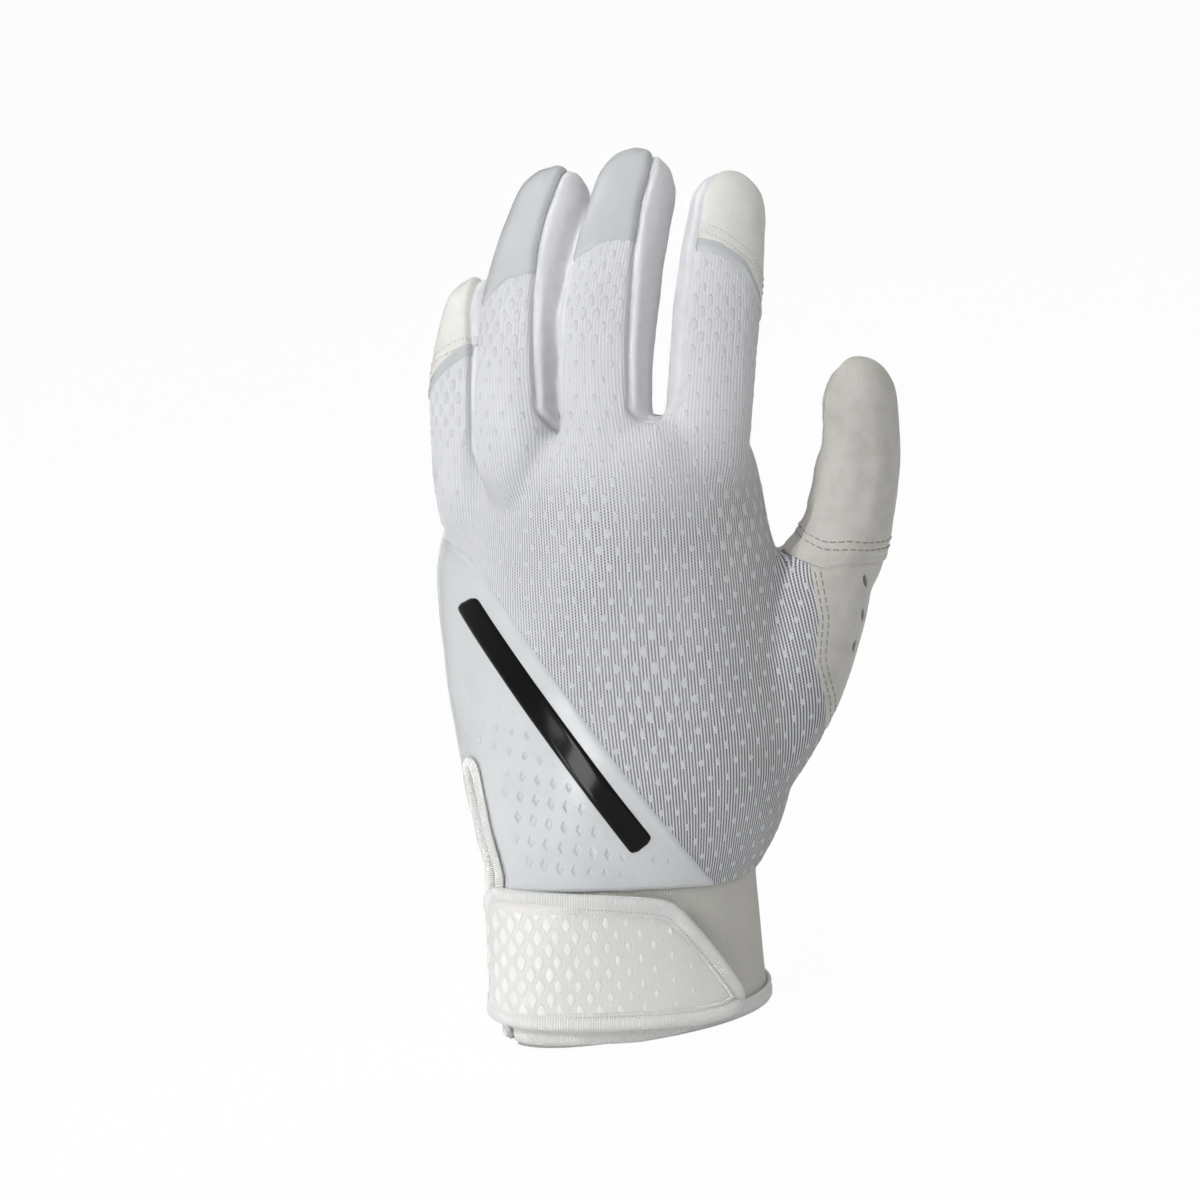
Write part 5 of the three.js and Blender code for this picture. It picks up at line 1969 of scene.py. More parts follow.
@dataclass
class Cuff:
    """The elastic cuff, its hem binding and the binding round the slit.

    Args:
        surface: places on the cuff.
        foot: the height of the band's foot.
        tuck: how far the band runs up under the hand's cloth.
        wall: the band's thickness.
        rib: the width of one rib.
        rib_depth: how deep the ribs are.
        step: how far apart the points of the band lie.
        slit_clear: how far the band ends from the slit's line.
        hem_height: the height of the binding.
        hem_round: the length of the binding's rounded ends.
        hem_line: how high the hem runs, by the angle round it in degrees.
    """

    surface: CuffSurface
    foot: float = 0.8
    tuck: float = 2.5
    wall: float = 1.3
    rib: float = 1.25
    rib_depth: float = 0.07
    step: float = 0.31
    slit_clear: float = 2.5
    hem_height: float = 4.4
    hem_round: float = 1.8
    hem_line: tuple = ((0, 0), (180, 0.4), (204, 1.5), (240, 1.4), (258, 0.8), (270, 0), (360, 0))

    def slit_gap(self, reach: float) -> tuple[float, float]:
        """The lengths round the cuff between which the slit is open.

        Args:
            reach: how far each side of the slit's line.

        Returns:
            The two lengths.
        """
        arcs = np.linspace(self.surface.arcs[0], self.surface.arcs[-1], 3000)
        places = self.surface.points(arcs, np.full(len(arcs), 10.0), 0)
        near = (np.abs(places[:, 1] - SLIT.cuff_depth) < reach) & (places[:, 0] < SLIT.inner_x)
        return float(arcs[near].min()), float(arcs[near].max())

    def pieces(self) -> None:
        """Makes the cuff and its bindings."""
        low, high = self.slit_gap(self.slit_clear)
        last = low + self.surface.whole
        arcs = np.append(np.arange(high, last, self.step), last)
        wrapped = self.surface.wrap(arcs)
        ceiling = cuff_line(self.surface.angle(wrapped)) + self.tuck
        shares = np.concatenate([np.arange(0, 0.86, 1 / 36), np.linspace(0.86, 1, 9)])
        grid_height = self.foot + (ceiling - self.foot)[:, None] * shares[None, :]
        ribs = -self.rib_depth * (1 - np.abs(np.sin(math.pi * arcs / self.rib)))
        sink = -0.12 - 1.0 * smooth_step(grid_height - ceiling[:, None] + self.tuck, -1.2, 0.8)
        offset = ribs[:, None] + sink
        grid_arc = np.repeat(wrapped[:, None], len(shares), 1)
        outer = self.surface.points(grid_arc, grid_height, offset)
        inner = self.surface.points(grid_arc, grid_height, offset - self.wall)
        sheet = grid_shell(outer, inner, np.stack([grid_arc, grid_height], -1))
        MAKER.piece("cuff_band_elastic", sheet, CUFF_ELASTIC, "cuff_elastic", "cuff_band")
        self.hem()
        self.slit_edge()

    def hem(self) -> None:
        """Makes the tape folded round the hem."""
        low, high = self.slit_gap(SLIT.opening / 2 + 0.5)
        lengths = np.arange(high, low + self.surface.whole, 0.6)
        arcs = self.surface.wrap(lengths)
        zero = np.zeros(len(arcs))
        table = np.array(self.hem_line, float)
        path = self.surface.points(arcs, zero, 0)
        path[:, 2] += np.interp(np.degrees(self.surface.angle(arcs)) % 360, table[:, 0], table[:, 1])
        end = np.minimum(lengths - lengths[0], lengths[-1] - lengths) / self.hem_round
        sizes = np.sqrt(np.clip(1 - np.clip(1 - end, 0, 1) ** 2, 0.04, 1))
        out = self.surface.out(arcs, zero + 1.0)
        out[:, 2] = 0
        up = np.tile([0.0, 0, 1.0], (len(arcs), 1))
        h = self.hem_height
        profile = np.array([
            (h, 0.15), (h + 0.1, 0.75), (h - 0.35, 1.1), (h - 0.75, 1.05), (h - 1.1, 0.75), (h - 1.5, 1.0),
            (2.0, 1.2), (1.0, 1.1), (0.3, 0.6), (0.0, -0.1), (0.0, -1.2), (0.3, -1.8), (1.0, -2.2), (h, -2.2),
            (h, -1.5), (1.2, -1.4),
        ])
        sheet = swept(path, unit(out), up, profile, sizes)
        MAKER.piece("hem_binding_tape", sheet, BINDING_TAPE, "binding_tape", "hem_binding")

    def slit_edge(self) -> None:
        """Makes the tape folded round the slit, up one side, round its head and down the other."""
        half = SLIT.opening / 2
        head, bend, _ = SLIT.line()
        foot = np.array([SLIT.cuff_depth, self.hem_height + 1.4])
        run_low, run_high = unit(bend - foot), unit(head - bend)
        side_low, side_high = np.array([-run_low[1], run_low[0]]), np.array([-run_high[1], run_high[0]])
        side_bend = unit(side_low + side_high)
        stops = [foot + side_low * half, bend + side_bend * half, head + side_high * half]
        for angle in np.linspace(0, math.pi, 15)[1:-1]:
            stops.append(head + (side_high * math.cos(angle) + run_high * math.sin(angle)) * half)
        stops += [head - side_high * half, bend - side_bend * half, foot - side_low * half]
        flat = evenly(np.array(stops), 0.7)
        flat = smooth_line(flat, 6)
        across = np.gradient(flat, axis=0)
        away = unit(np.stack([across[:, 1], -across[:, 0]], 1))
        middle = flat.mean(0)
        if ((flat - middle) * away).sum() < 0:
            away = -away
        path = np.array([self.side_point(y, z) for y, z in flat])
        beyond = np.array([self.side_point(y, z) for y, z in flat + away * 1.0])
        inward = unit(beyond - path)
        forward = unit(np.gradient(path, axis=0))
        out = unit(np.cross(forward, inward))
        if out[:, 0].mean() > 0:
            out = -out
        bite = SLIT.bite
        profile = np.array([
            (0.9, -1.4), (bite, -1.5), (bite, -2.1), (0.6, -2.1), (0.0, -1.5), (-0.15, -0.4), (0.0, 0.6),
            (0.5, 1.05), (1.1, 1.2), (1.7, 1.05), (2.1, 0.85), (2.6, 0.95), (bite, 0.75), (bite + 0.05, 0.2),
            (0.9, -0.1),
        ])
        sheet = swept(path, out, inward, profile)
        MAKER.piece("slit_binding_tape", sheet, BINDING_TAPE, "binding_tape", "slit_binding")

    def side_point(self, depth: float, height: float) -> Array:
        """The point on the little-finger side at a depth and height."""
        angles = np.linspace(math.radians(100), math.radians(262), 400)
        places = PALM.surface(angles, np.full(len(angles), max(height, 0.0)))
        order = np.argsort(places[:, 1])
        x = np.interp(depth, places[order, 1], places[order, 0])
        return np.array([x, depth, height])


def smooth_line(line: Array, rounds: int) -> Array:
    """Evens out a line and keeps its ends.

    Args:
        line: the line's points.
        rounds: how many times.

    Returns:
        The even line.
    """
    line = line.copy()
    for _ in range(rounds):
        line[1:-1] = line[1:-1] * 0.5 + (line[:-2] + line[2:]) * 0.25
    return line


@dataclass
class Strap:
    """The closing strap: panel, printed lozenges, edge binding, hook and loop patches and sewn root.

    Args:
        surface: places on the cuff.
        edge_line: its edge across the back as (side, height), along its top, its slanted end and its foot.
        root_heights: its foot and top where it is sewn on.
        side_heights: its foot and top at the little-finger side.
        root_degrees: where round the cuff it is sewn on.
        side_degrees: where round the cuff the little-finger side lies.
        columns: where the columns of lozenges lie across the back.
        sizes: the lozenges' (side, width, height).
        row: how far apart the lozenges of a column lie.
        row_line: the height of one row as (side, height).
        anchor_length: the length of its sewn root.
        inner: how far its inner face lies over the cuff.
        outer: how far its outer face does.
        hook_left_x: where the hook patch starts across the back.
        loop_left_x: where the loop patch starts.
        tight_height: the height above which it lies tighter than the wrist widens.
        tight_share: how much of the widening it follows there.
        print_inset: how far from its edge the lozenges end.
    """

    surface: CuffSurface
    edge_line: tuple = (
        (-29.6, 40.9), (-22.2, 40.6), (-15, 40.1), (-5.2, 39.1), (4.5, 37.3), (9.3, 36), (12.2, 34),
        (14.6, 30.8), (18.4, 24.6), (22.8, 16.3), (25.8, 9.8), (26.6, 6.6), (25.6, 3.6), (22.6, 2.1),
        (16.2, 2.2), (9, 2.9), (1.9, 3.8), (-8, 5.0), (-17.9, 6.0), (-29, 6.8),
    )
    root_heights: tuple = (6.4, 37.0)
    side_heights: tuple = (6.6, 37.6)
    root_degrees: float = 131.0
    side_degrees: float = 186.0
    columns: tuple = (
        -32.2, -30.6, -28.8, -27.0, -25.2, -23.3, -21.2, -19.3, -17.0, -15.2, -12.7, -10.8, -8.2, -6.3, -3.8,
        -1.6, 0.8, 3.6, 6.6, 10.5, 14.6,
    )
    sizes: tuple = (
        (-32, 2.8, 5.1), (-20, 2.3, 4.7), (-12, 1.9, 3.8), (-2.7, 1.6, 3.1), (2, 1.4, 2.7), (7.5, 1.2, 2.4),
        (11.5, 0.9, 1.9), (15.5, 0.8, 1.8),
    )
    row: float = 6.3
    row_line: tuple = (
        (-32, 20.3), (-25, 20.7), (-17, 20.6), (-8.2, 20.1), (0.8, 19.3), (6.6, 18.8), (14.6, 17.8),
    )
    anchor_length: float = 10.0
    inner: float = 2.3
    outer: float = 3.5
    hook_left_x: float = -6.0
    loop_left_x: float = -22.0
    tight_height: float = 27.0
    tight_share: float = 0.4
    print_inset: float = 4.2

    def __post_init__(self) -> None:
        """Lays the strap's edge round the cuff as (length round, height)."""
        self.root = self.surface.arc_at_angle(self.root_degrees)
        side = self.surface.arc_at_angle(self.side_degrees)
        line = [(self.root, self.root_heights[1]), (side, self.side_heights[1])]
        line += [(float(self.surface.arc_at_x(x)), z) for x, z in self.edge_line]
        line += [(side, self.side_heights[0]), (self.root, self.root_heights[0])]
        self.line = evenly(smooth_line(evenly(np.array(line), 0.7), 10), 0.7)

    def lay(self, arc: Array, height: Array, offset: Array | float) -> Array:
        """Points of the strap. Drawn tight, it follows only part of the wrist's widening at its top.

        Args:
            arc: lengths round the cuff.
            height: heights above the hem.
            offset: how far outside the cuff.

        Returns:
            The points.
        """
        level = np.minimum(height, self.tight_height + (height - self.tight_height) * self.tight_share)
        points = self.surface.points(arc, level, offset)
        points[..., 2] += height - level
        return points

    def inwards(self) -> Array:
        """The directions into the strap along its edge."""
        way = unit(np.gradient(self.line, axis=0))
        side = np.stack([way[:, 1], -way[:, 0]], 1)
        return side if ((self.line.mean(0) - self.line) * side).sum() > 0 else -side

    def limits(self, arc: Array, inset: float) -> tuple[Array, Array]:
        """The heights between which the strap lies.

        Args:
            arc: lengths round the cuff.
            inset: how far inside the strap's edge the limits lie.

        Returns:
            The lower and upper heights.
        """
        line = self.line + self.inwards() * inset
        tip = int(line[:, 0].argmax())
        top, foot = line[: tip + 1], line[tip:][::-1]
        high = np.interp(arc, np.maximum.accumulate(top[:, 0]), top[:, 1])
        low = np.interp(arc, np.maximum.accumulate(foot[:, 0]), foot[:, 1])
        return np.minimum(low, high), high

    def grid(self, start: float, inset: float, columns: int, rows: int) -> tuple[Array, Array]:
        """Spreads places over the strap from a start to its tip.

        Args:
            start: the first length round the cuff.
            inset: how far inside the strap's edge the places end.
            columns: how many places round the cuff.
            rows: how many places up.

        Returns:
            Lengths round the cuff and heights.
        """
        tip = float((self.line + self.inwards() * inset)[:, 0].max()) - 0.25
        arcs = start + (tip - start) * np.sin(np.linspace(0, math.pi / 2, columns))
        low, high = self.limits(arcs, inset)
        shares = np.linspace(0, 1, rows)
        return np.repeat(arcs[:, None], rows, 1), low[:, None] + (high - low)[:, None] * shares[None, :]

    def face(self, arc: Array, height: Array) -> Array:
        """How far outside the cuff the strap's face lies."""
        low, high = self.limits(arc, 0.0)
        crown = 0.2 * np.sin(math.pi * np.clip((height - low) / (high - low + 0.01), 0, 1))
        return self.outer + crown + 0.1 * np.sin(arc * 0.21 + height * 0.13)

    def pieces(self) -> None:
        """Makes the strap's pieces."""
        self.panel()
        self.print_lozenges()
        self.binding()
        self.patches()
        self.anchor()

    def panel(self) -> None:
        """Makes the strap's face."""
        arcs, heights = self.grid(self.root + 0.3, 1.8, 190, 26)
        sheet = self.laid(arcs, heights, self.inner, self.face(arcs, heights))
        MAKER.piece("strap_panel_face", sheet, STRAP_BASE, "strap_synthetic", "strap_panel", "strap")

    def laid(self, arcs: Array, heights: Array, low: Array | float, high: Array | float) -> Sheet:
        """A layer over the cuff on a grid of places.

        Args:
            arcs: lengths round the cuff.
            heights: heights above the hem.
            low: how far its inner face lies over the cuff.
            high: how far its outer face does.

        Returns:
            The sheet.
        """
        outer, inner = self.lay(arcs, heights, high), self.lay(arcs, heights, low)
        return grid_shell(outer, inner, np.stack([arcs, heights], -1))

    def print_lozenges(self) -> None:
        """Prints lozenges in staggered columns, large at the little-finger side and small at the tip."""
        sizes, rows = np.array(self.sizes), np.array(self.row_line)
        places = [(float(self.surface.arc_at_x(x)), x) for x in self.columns]
        step = places[1][0] - places[0][0]
        while places[0][0] - step > self.root + 2.0:
            places.insert(0, (places[0][0] - step, self.columns[0]))
        lozenges = []
        for number, (arc, x) in enumerate(reversed(places)):
            wide, tall = np.interp(x, sizes[:, 0], sizes[:, 1]), np.interp(x, sizes[:, 0], sizes[:, 2])
            low, high = (float(v) for v in self.limits(np.array(arc), self.print_inset))
            first = np.interp(x, rows[:, 0], rows[:, 1]) + (self.row / 2 if number % 2 else 0)
            margin = 0.35 * tall if x > self.columns[-4] else -0.4 * tall
            for height in first + np.arange(-4, 5) * self.row:
                if low + margin < height < high - margin:
                    lozenges.append(self.lozenge(arc, height, wide, tall))
        MAKER.piece("strap_print_lozenges", joined(lozenges), STRAP_PRINT, "strap_synthetic", body="strap")

    def lozenge(self, arc: float, height: float, wide: float, tall: float) -> Sheet:
        """One raised lozenge with bevelled sides, cut where it meets the binding.

        Args:
            arc: its middle round the cuff.
            height: its middle above the hem.
            wide: its width.
            tall: its height.

        Returns:
            The sheet.
        """
        corners = 12
        turns = np.arange(corners) * 2 * math.pi / corners
        across = signed_power(np.cos(turns), 1.6) * wide / 2
        up = signed_power(np.sin(turns), 1.6) * tall / 2
        scale, rise = np.array([(1.0, -0.1), (1.0, 0.07), (0.84, 0.16)]).T[..., None]
        arcs, heights = arc + across * scale, height + up * scale
        heights = np.clip(heights, *self.limits(arcs, self.print_inset))
        points, faces = closed_loft(self.lay(arcs, heights, self.face(arcs, heights) + rise))
        return Sheet(points, [face[::-1] for face in faces])

    def edge_frame(self) -> tuple[Array, Array, Array]:
        """The strap's edge over the cuff, with the directions outwards and into the strap."""
        path = self.lay(self.line[:, 0], self.line[:, 1], 0)
        nudged = self.line + self.inwards() * 0.5
        inward = unit(self.lay(nudged[:, 0], nudged[:, 1], 0) - path)
        return path, self.surface.out(self.line[:, 0], self.line[:, 1]), inward

    def binding(self) -> None:
        """Makes the ribbed tape folded round the strap's edge, with a thin raised edge inside its seam."""
        path, out, inward = self.edge_frame()
        profile = np.array([
            (4.75, 3.3), (4.7, 3.85), (4.45, 4.12), (4.1, 4.12), (3.85, 3.9), (3.6, 3.7), (3.35, 3.95),
            (2.6, 4.4), (1.6, 4.6), (0.6, 4.35), (0.0, 3.6), (-0.1, 2.8), (0.1, 2.0), (0.6, 1.45), (1.4, 1.3),
            (4.6, 1.3), (4.6, 2.0), (1.2, 2.1), (1.2, 3.3),
        ])
        sheet = swept(path, out, inward, profile)
        MAKER.piece("strap_binding_tape", sheet, BINDING_TAPE, "binding_tape", "strap_binding", "strap")

    def patches(self) -> None:
        """Makes the hook patch under the strap and the loop patch on the cuff."""
        for name, left_x, inset, low, high, body in (
            ("hook_patch", self.hook_left_x, 5.4, 1.35, 2.25, "strap"),
            ("loop_patch", self.loop_left_x, 4.4, 0.2, 1.0, "hand"),
        ):
            arcs, heights = self.grid(float(self.surface.arc_at_x(left_x)), inset, 50, 14)
            sheet = self.laid(arcs, heights, low, high)
            MAKER.piece(f"{name}_pile", sheet, PILE, "hook_and_loop", name, body)

    def anchor(self) -> None:
        """Makes the sewn root of the strap on the palm side."""
        foot, top = self.root_heights
        heights = np.linspace(foot, top, 20)
        arcs = self.root - 0.3 - self.anchor_length * np.linspace(0, 1, 16)
        grid_arc = np.repeat(arcs[:, None], len(heights), 1)
        grid_height = np.repeat(heights[None, :], len(arcs), 0)
        high = 3.5 - 2.0 * smooth_step(np.linspace(0, 1, 16)[:, None], 0.1, 0.8)
        rim = np.minimum(heights - foot, top - heights)[None, :]
        high = high - 0.4 * (1 - smooth_step(rim, 0, 1.2))
        sheet = self.laid(grid_arc, grid_height, 0.25, high)
        MAKER.piece("strap_anchor_fold", sheet, STRAP_BASE, "strap_synthetic", "strap_anchor")


@dataclass
class Stitching:
    """Rows of sewing thread.

    Args:
        hand: the sewn skin.
        strap: the strap.
        length: a stitch's length.
        gap: how far apart two stitches lie.
        radius: the thread's radius.
        hole: a needle hole's radius.
        bends: along a stitch, from 0 to 1, the thread's size and its rise over the surface.
    """

    hand: SewnHand
    strap: Strap
    length: float = 1.35
    gap: float = 0.8
    radius: float = 0.2
    hole: float = 0.2
    bends: tuple = (
        (0, 0.45, -0.18), (0.14, 0.9, 0.02), (0.5, 1.0, 0.12), (0.86, 0.9, 0.02), (1, 0.45, -0.18),
    )

    def stitch(self, start: Array, end: Array, out: Array) -> Sheet:
        """One stitch, lying on the surface and dipping in at both ends.

        Args:
            start: where it comes up.
            end: where it goes down.
            out: the outward direction.

        Returns:
            The sheet.
        """
        corners, bends = 7, len(self.bends)
        side = unit(np.cross(unit(end - start), out))
        turns = np.arange(corners) * 2 * math.pi / corners
        outline = (side * np.cos(turns)[:, None] + out * np.sin(turns)[:, None]) * self.radius
        rings = []
        for share, size, rise in self.bends:
            rings.append(start * (1 - share) + end * share + out * rise + outline * size)
        points, faces = closed_loft(np.array(rings))
        tape = np.zeros((len(points), 3))
        tape[: corners * bends, 0] = np.repeat(np.arange(bends) * self.length / (bends - 1), corners)
        tape[: corners * bends, 1] = np.tile(np.arange(corners) * 0.2, bends)
        return Sheet(points, faces, {"tape": tape})

    def needle_hole(self, spot: Array, out: Array) -> Sheet:
        """Painted shade for the dark mouth of one needle hole, a shallow bead.

        Args:
            spot: where it is.
            out: the outward direction.

        Returns:
            The sheet.
        """
        side = unit(np.cross(out, (0.3, 0.1, 0.9)))
        turns = np.arange(8)[:, None] * math.pi / 4
        outline = (side * np.cos(turns) + np.cross(out, side) * np.sin(turns)) * self.hole
        return bead(spot, outline, out, ((1.0, -0.1), (0.9, 0.05), (0.4, 0.09)))

    def row(self, name: str, line: Array, outs: Array, body: Digit | str, slot: str) -> None:
        """Sews a row along a line on the surface, and leaves out stitches where the line breaks off.

        Args:
            name: the piece's name.
            line: the line's points.
            outs: outward directions there.
            body: the body that it rides on, or the digit that it lies on.
            slot: the record's slot.
        """
        hole_share = 0.07
        along = lengths_along(line)
        lengths = np.diff(along)
        broken = lengths > 2.5 * np.median(lengths)
        threads, holes = [], []
        place = 0.3
        while place + self.length < along[-1]:
            ends = np.stack([np.interp([place, place + self.length], along, line[:, i]) for i in range(3)], 1)
            out = unit(np.array([np.interp(place + self.length / 2, along, outs[:, i]) for i in range(3)]))
            spanned = (along[1:] > place) & (along[:-1] < place + self.length)
            if not broken[spanned].any():
                threads.append(self.stitch(ends[0], ends[1], out))
                for near, far in (ends, ends[::-1]):
                    holes.append(self.needle_hole(near * (1 - hole_share) + far * hole_share, out))
            place += self.length + self.gap
        # Each needle hole is a bead of painted shade, paler in the white tip leather.
        hole_shade = PALE_HOLE_SHADE if slot == "tip_leather" else NEEDLE_HOLE_SHADE
        # Rows in the grey leather take thread darkened as painted shade.
        thread = SHADED_THREAD if slot == "palm_leather" else THREAD
        for sheets, finish, part in ((threads, thread, name), (holes, hole_shade, f"{name}_holes")):
            MAKER.piece(part, joined(sheets), finish, slot, body=body)

    def digit_line(self, digit: Digit, spots: list, lift: float, level: float = 0.0) -> tuple[Array, Array]:
        """A line on a digit's skin through some (side angle, along) spots.

        Args:
            digit: the digit.
            spots: turns round from its back in degrees, towards the thumb above 0, and places along.
            lift: how far over the skin.
            level: an amount added to every place along.

        Returns:
            Points and outward directions.
        """
        spots = np.array(spots, float)
        turns = np.arange(spots[0, 0], spots[-1, 0] + 0.01, 4.0)
        alongs = np.interp(turns, spots[:, 0], spots[:, 1]) + level
        points, outs = [], []
        for turn, along in zip(turns, alongs):
            centre, _, side, back = (v[0] for v in digit.axis(np.array([along])))
            way = side * math.sin(math.radians(turn)) + back * math.cos(math.radians(turn))
            start = float(max(v[0] for v in digit.halves(np.array([along])))) + 4.0
            met = self.hand.on_surface(centre + way * start, -way)
            if met is None or met[1] @ way < 0.3 or np.linalg.norm(met[0] - centre) < start - 9:
                continue
            points.append(met[0] + met[1] * lift)
            outs.append(met[1])
        return smooth_line(np.array(points), 2), unit(smooth_line(np.array(outs), 2))

    def pieces(self) -> None:
        """Sews every row."""
        lift = LAPPED[Cloth.TIP] + 0.05
        index = [(-62, 46), (-20, 43.5), (25, 40), (60, 35), (88, 31)]
        little = [(-80, 22), (-20, 28.5), (40, 31.5), (60, 32)]
        thumb = [(-180, 5), (-70, 3.5), (-40, 5.5), (45, 6.5), (90, 5.5), (180, 5)]
        for number, level in ((1, 0.0), (2, -2.0)):
            for digit, spots, slot in (
                (INDEX, index, "tip_leather"),
                (LITTLE, little, "tip_leather"),
                (THUMB, thumb, "palm_leather"),
            ):
                raised = LAPPED[Cloth.THUMB_BACK] + 0.05 if digit is THUMB else lift
                line, outs = self.digit_line(digit, spots, raised, level)
                self.row(f"{digit.name}_stitch_row_{number}", line, outs, digit, slot)
            self.panel_row(number, 0.9 + 1.4 * (number - 1))
        self.strap_row()

    def strap_row(self) -> None:
        """Sews the strap's binding down along its seam."""
        path, out, inward = self.strap.edge_frame()
        line = path + inward * 3.6 + out * 3.72
        self.row("strap_binding_stitch_row", line, out, "strap", "binding_tape")

    def panel_row(self, number: int, inset: float) -> None:
        """Sews a row inside the left edge of the leather over the ball of the thumb.

        Args:
            number: the row's number.
            inset: how far inside the edge.
        """
        seam = np.array(self.hand.panel_seam)
        points, outs = [], []
        for height in np.arange(111, 67, -0.8):
            x = np.interp(height, seam[:, 0], seam[:, 1]) + inset
            met = self.hand.on_surface(np.array([x, -60, height]), np.array([0.0, 1, 0]))
            if met is None:
                continue
            points.append(met[0] + met[1] * (LAPPED[Cloth.PANEL] + 0.02))
            outs.append(met[1])
        line, outs = smooth_line(np.array(points), 2), unit(smooth_line(np.array(outs), 2))
        self.row(f"thumb_base_stitch_row_{number}", line, outs, "hand", "palm_leather")


@dataclass
class Dots:
    """Raised leaf-shaped dots printed on the knit.

    Args:
        hand: the sewn skin.
        body_pitch: how far apart the dots of the back lie, across and along.
        finger_pitch: the same on the fingers.
        height: how high a dot rises.
        small: the least width and height of a dot.
        growth: how much wider and taller the largest dots are.
        clusters: the side, height and reach of each cluster of large dots.
        knuckle_growth: how much of the growth the dots on a knuckle reach.
        knuckle_reach: how far along the finger they grow.
    """

    hand: SewnHand
    body_pitch: tuple = (4.45, 8.2)
    finger_pitch: tuple = (3.6, 6.0)
    height: float = 0.12
    small: tuple = (1.1, 1.9)
    growth: tuple = (0.8, 1.8)
    clusters: tuple = ((-1.0, 134.0, 9.0), (38.0, 128.0, 9.0), (12.0, 92.0, 12.0))
    knuckle_growth: float = 0.8
    knuckle_reach: float = 9.0

    def pieces(self) -> None:
        """Prints the dots of the back and of each finger."""
        hand = self.hand
        knit = hand.cut_from(Cloth.BACK)
        bare = knit & (hand.owners < 0) & (hand.skin.mean("film") < -0.5)
        self.scatter("back_knit_dots", bare, self.body_pitch, None)
        for number, digit in enumerate(FINGERS):
            below = hand.skin.mean("band" if digit.outer else "cap") < -0.4
            own = knit & (hand.owners == number) & below
            self.scatter(f"{digit.name}_back_dots", own, self.finger_pitch, digit)

    def size_at(self, spot: Array, digit: Digit | None, along: float) -> tuple:
        """How wide and tall a dot is.

        Args:
            spot: where it is.
            digit: the finger that it is on, if any.
            along: the place along the finger.

        Returns:
            Width and height in mm.
        """
        if digit:
            grown = self.knuckle_growth * math.exp(-(((along - digit.flex) / self.knuckle_reach) ** 2))
        else:
            gaps = [math.hypot(spot[0] - x, (spot[2] - z) * 0.6) / reach for x, z, reach in self.clusters]
            grown = math.exp(-(min(gaps) ** 2))
        return tuple(small + growth * grown for small, growth in zip(self.small, self.growth))

    def scatter(self, name: str, chosen: Array, pitch: tuple, digit: Digit | None) -> None:
        """Prints dots on a staggered lattice over some triangles.

        Args:
            name: the piece's name.
            chosen: which triangles.
            pitch: the lattice's spacing across and along.
            digit: the finger, if any.
        """
        hand = self.hand
        skin = hand.skin
        triangles = skin.triangles[chosen]
        corners = hand.outer[triangles]
        flat = skin.fields["weave"][:, :2][triangles]
        dots = []
        low, high = flat.reshape(-1, 2).min(0), flat.reshape(-1, 2).max(0)
        box_low, box_high = flat.min(1), flat.max(1)
        margins = np.minimum(skin.fields["turned"], skin.fields["lapped"])
        for row in range(int(low[1] / pitch[1] * 2) - 1, int(high[1] / pitch[1] * 2) + 2):
            v = row * pitch[1] / 2
            line = np.nonzero((box_low[:, 1] <= v) & (box_high[:, 1] >= v))[0]
            if not len(line):
                continue
            for column in range(int(low[0] / pitch[0]) - 1, int(high[0] / pitch[0]) + 2):
                u = (column + (0.5 if row % 2 else 0.0)) * pitch[0]
                near = line[(box_low[line, 0] <= u) & (box_high[line, 0] >= u)]
                for t in near:
                    edge = np.stack([flat[t, 1] - flat[t, 0], flat[t, 2] - flat[t, 0]], 1)
                    if abs(np.linalg.det(edge)) < 1e-9:
                        continue
                    p, q = np.linalg.solve(edge, np.array([u, v]) - flat[t, 0])
                    if p < 0 or q < 0 or p + q > 1:
                        continue
                    if margins[triangles[t]].min() < 1.5:
                        break
                    spot = corners[t, 0] * (1 - p - q) + corners[t, 1] * p + corners[t, 2] * q
                    along = skin.fields["alongs"][triangles[t, 0], FINGERS.index(digit)] if digit else 0.0
                    span = np.stack([corners[t, 1] - corners[t, 0], corners[t, 2] - corners[t, 0]], 1)
                    up = unit(span @ np.linalg.solve(edge, np.array([0.0, 1.0])))
                    out = hand.bent[triangles[t]].mean(0)
                    dots.append(self.dot(spot, unit(out), up, self.size_at(spot, digit, along)))
                    break
        MAKER.piece(name, joined(dots), DOT_PRINT, "back_knit", body=digit or "hand")
        log.info("%s: %d dots", name, len(dots))

    def dot(self, spot: Array, out: Array, up: Array, size: tuple[float, float]) -> Sheet:
        """One raised dot, pointed at both ends.

        Args:
            spot: where it is.
            out: the outward direction.
            up: the direction of its long axis.
            size: its width and height.

        Returns:
            The sheet.
        """
        side = unit(np.cross(up, out))
        turns = np.arange(10)[:, None] * math.pi / 5
        wide = np.cos(turns) * np.abs(np.cos(turns)) ** 0.35 * size[0] / 2
        outline = side * wide + np.cross(out, side) * np.sin(turns) * size[1] / 2
        levels = ((1.0, -0.25), (1.0, 0.02), (0.72, 0.75 * self.height), (0.3, self.height))
        return bead(spot, outline, out, levels)


MIDDLE_OF_GLOVE = (-0.018, 0, 0.11)


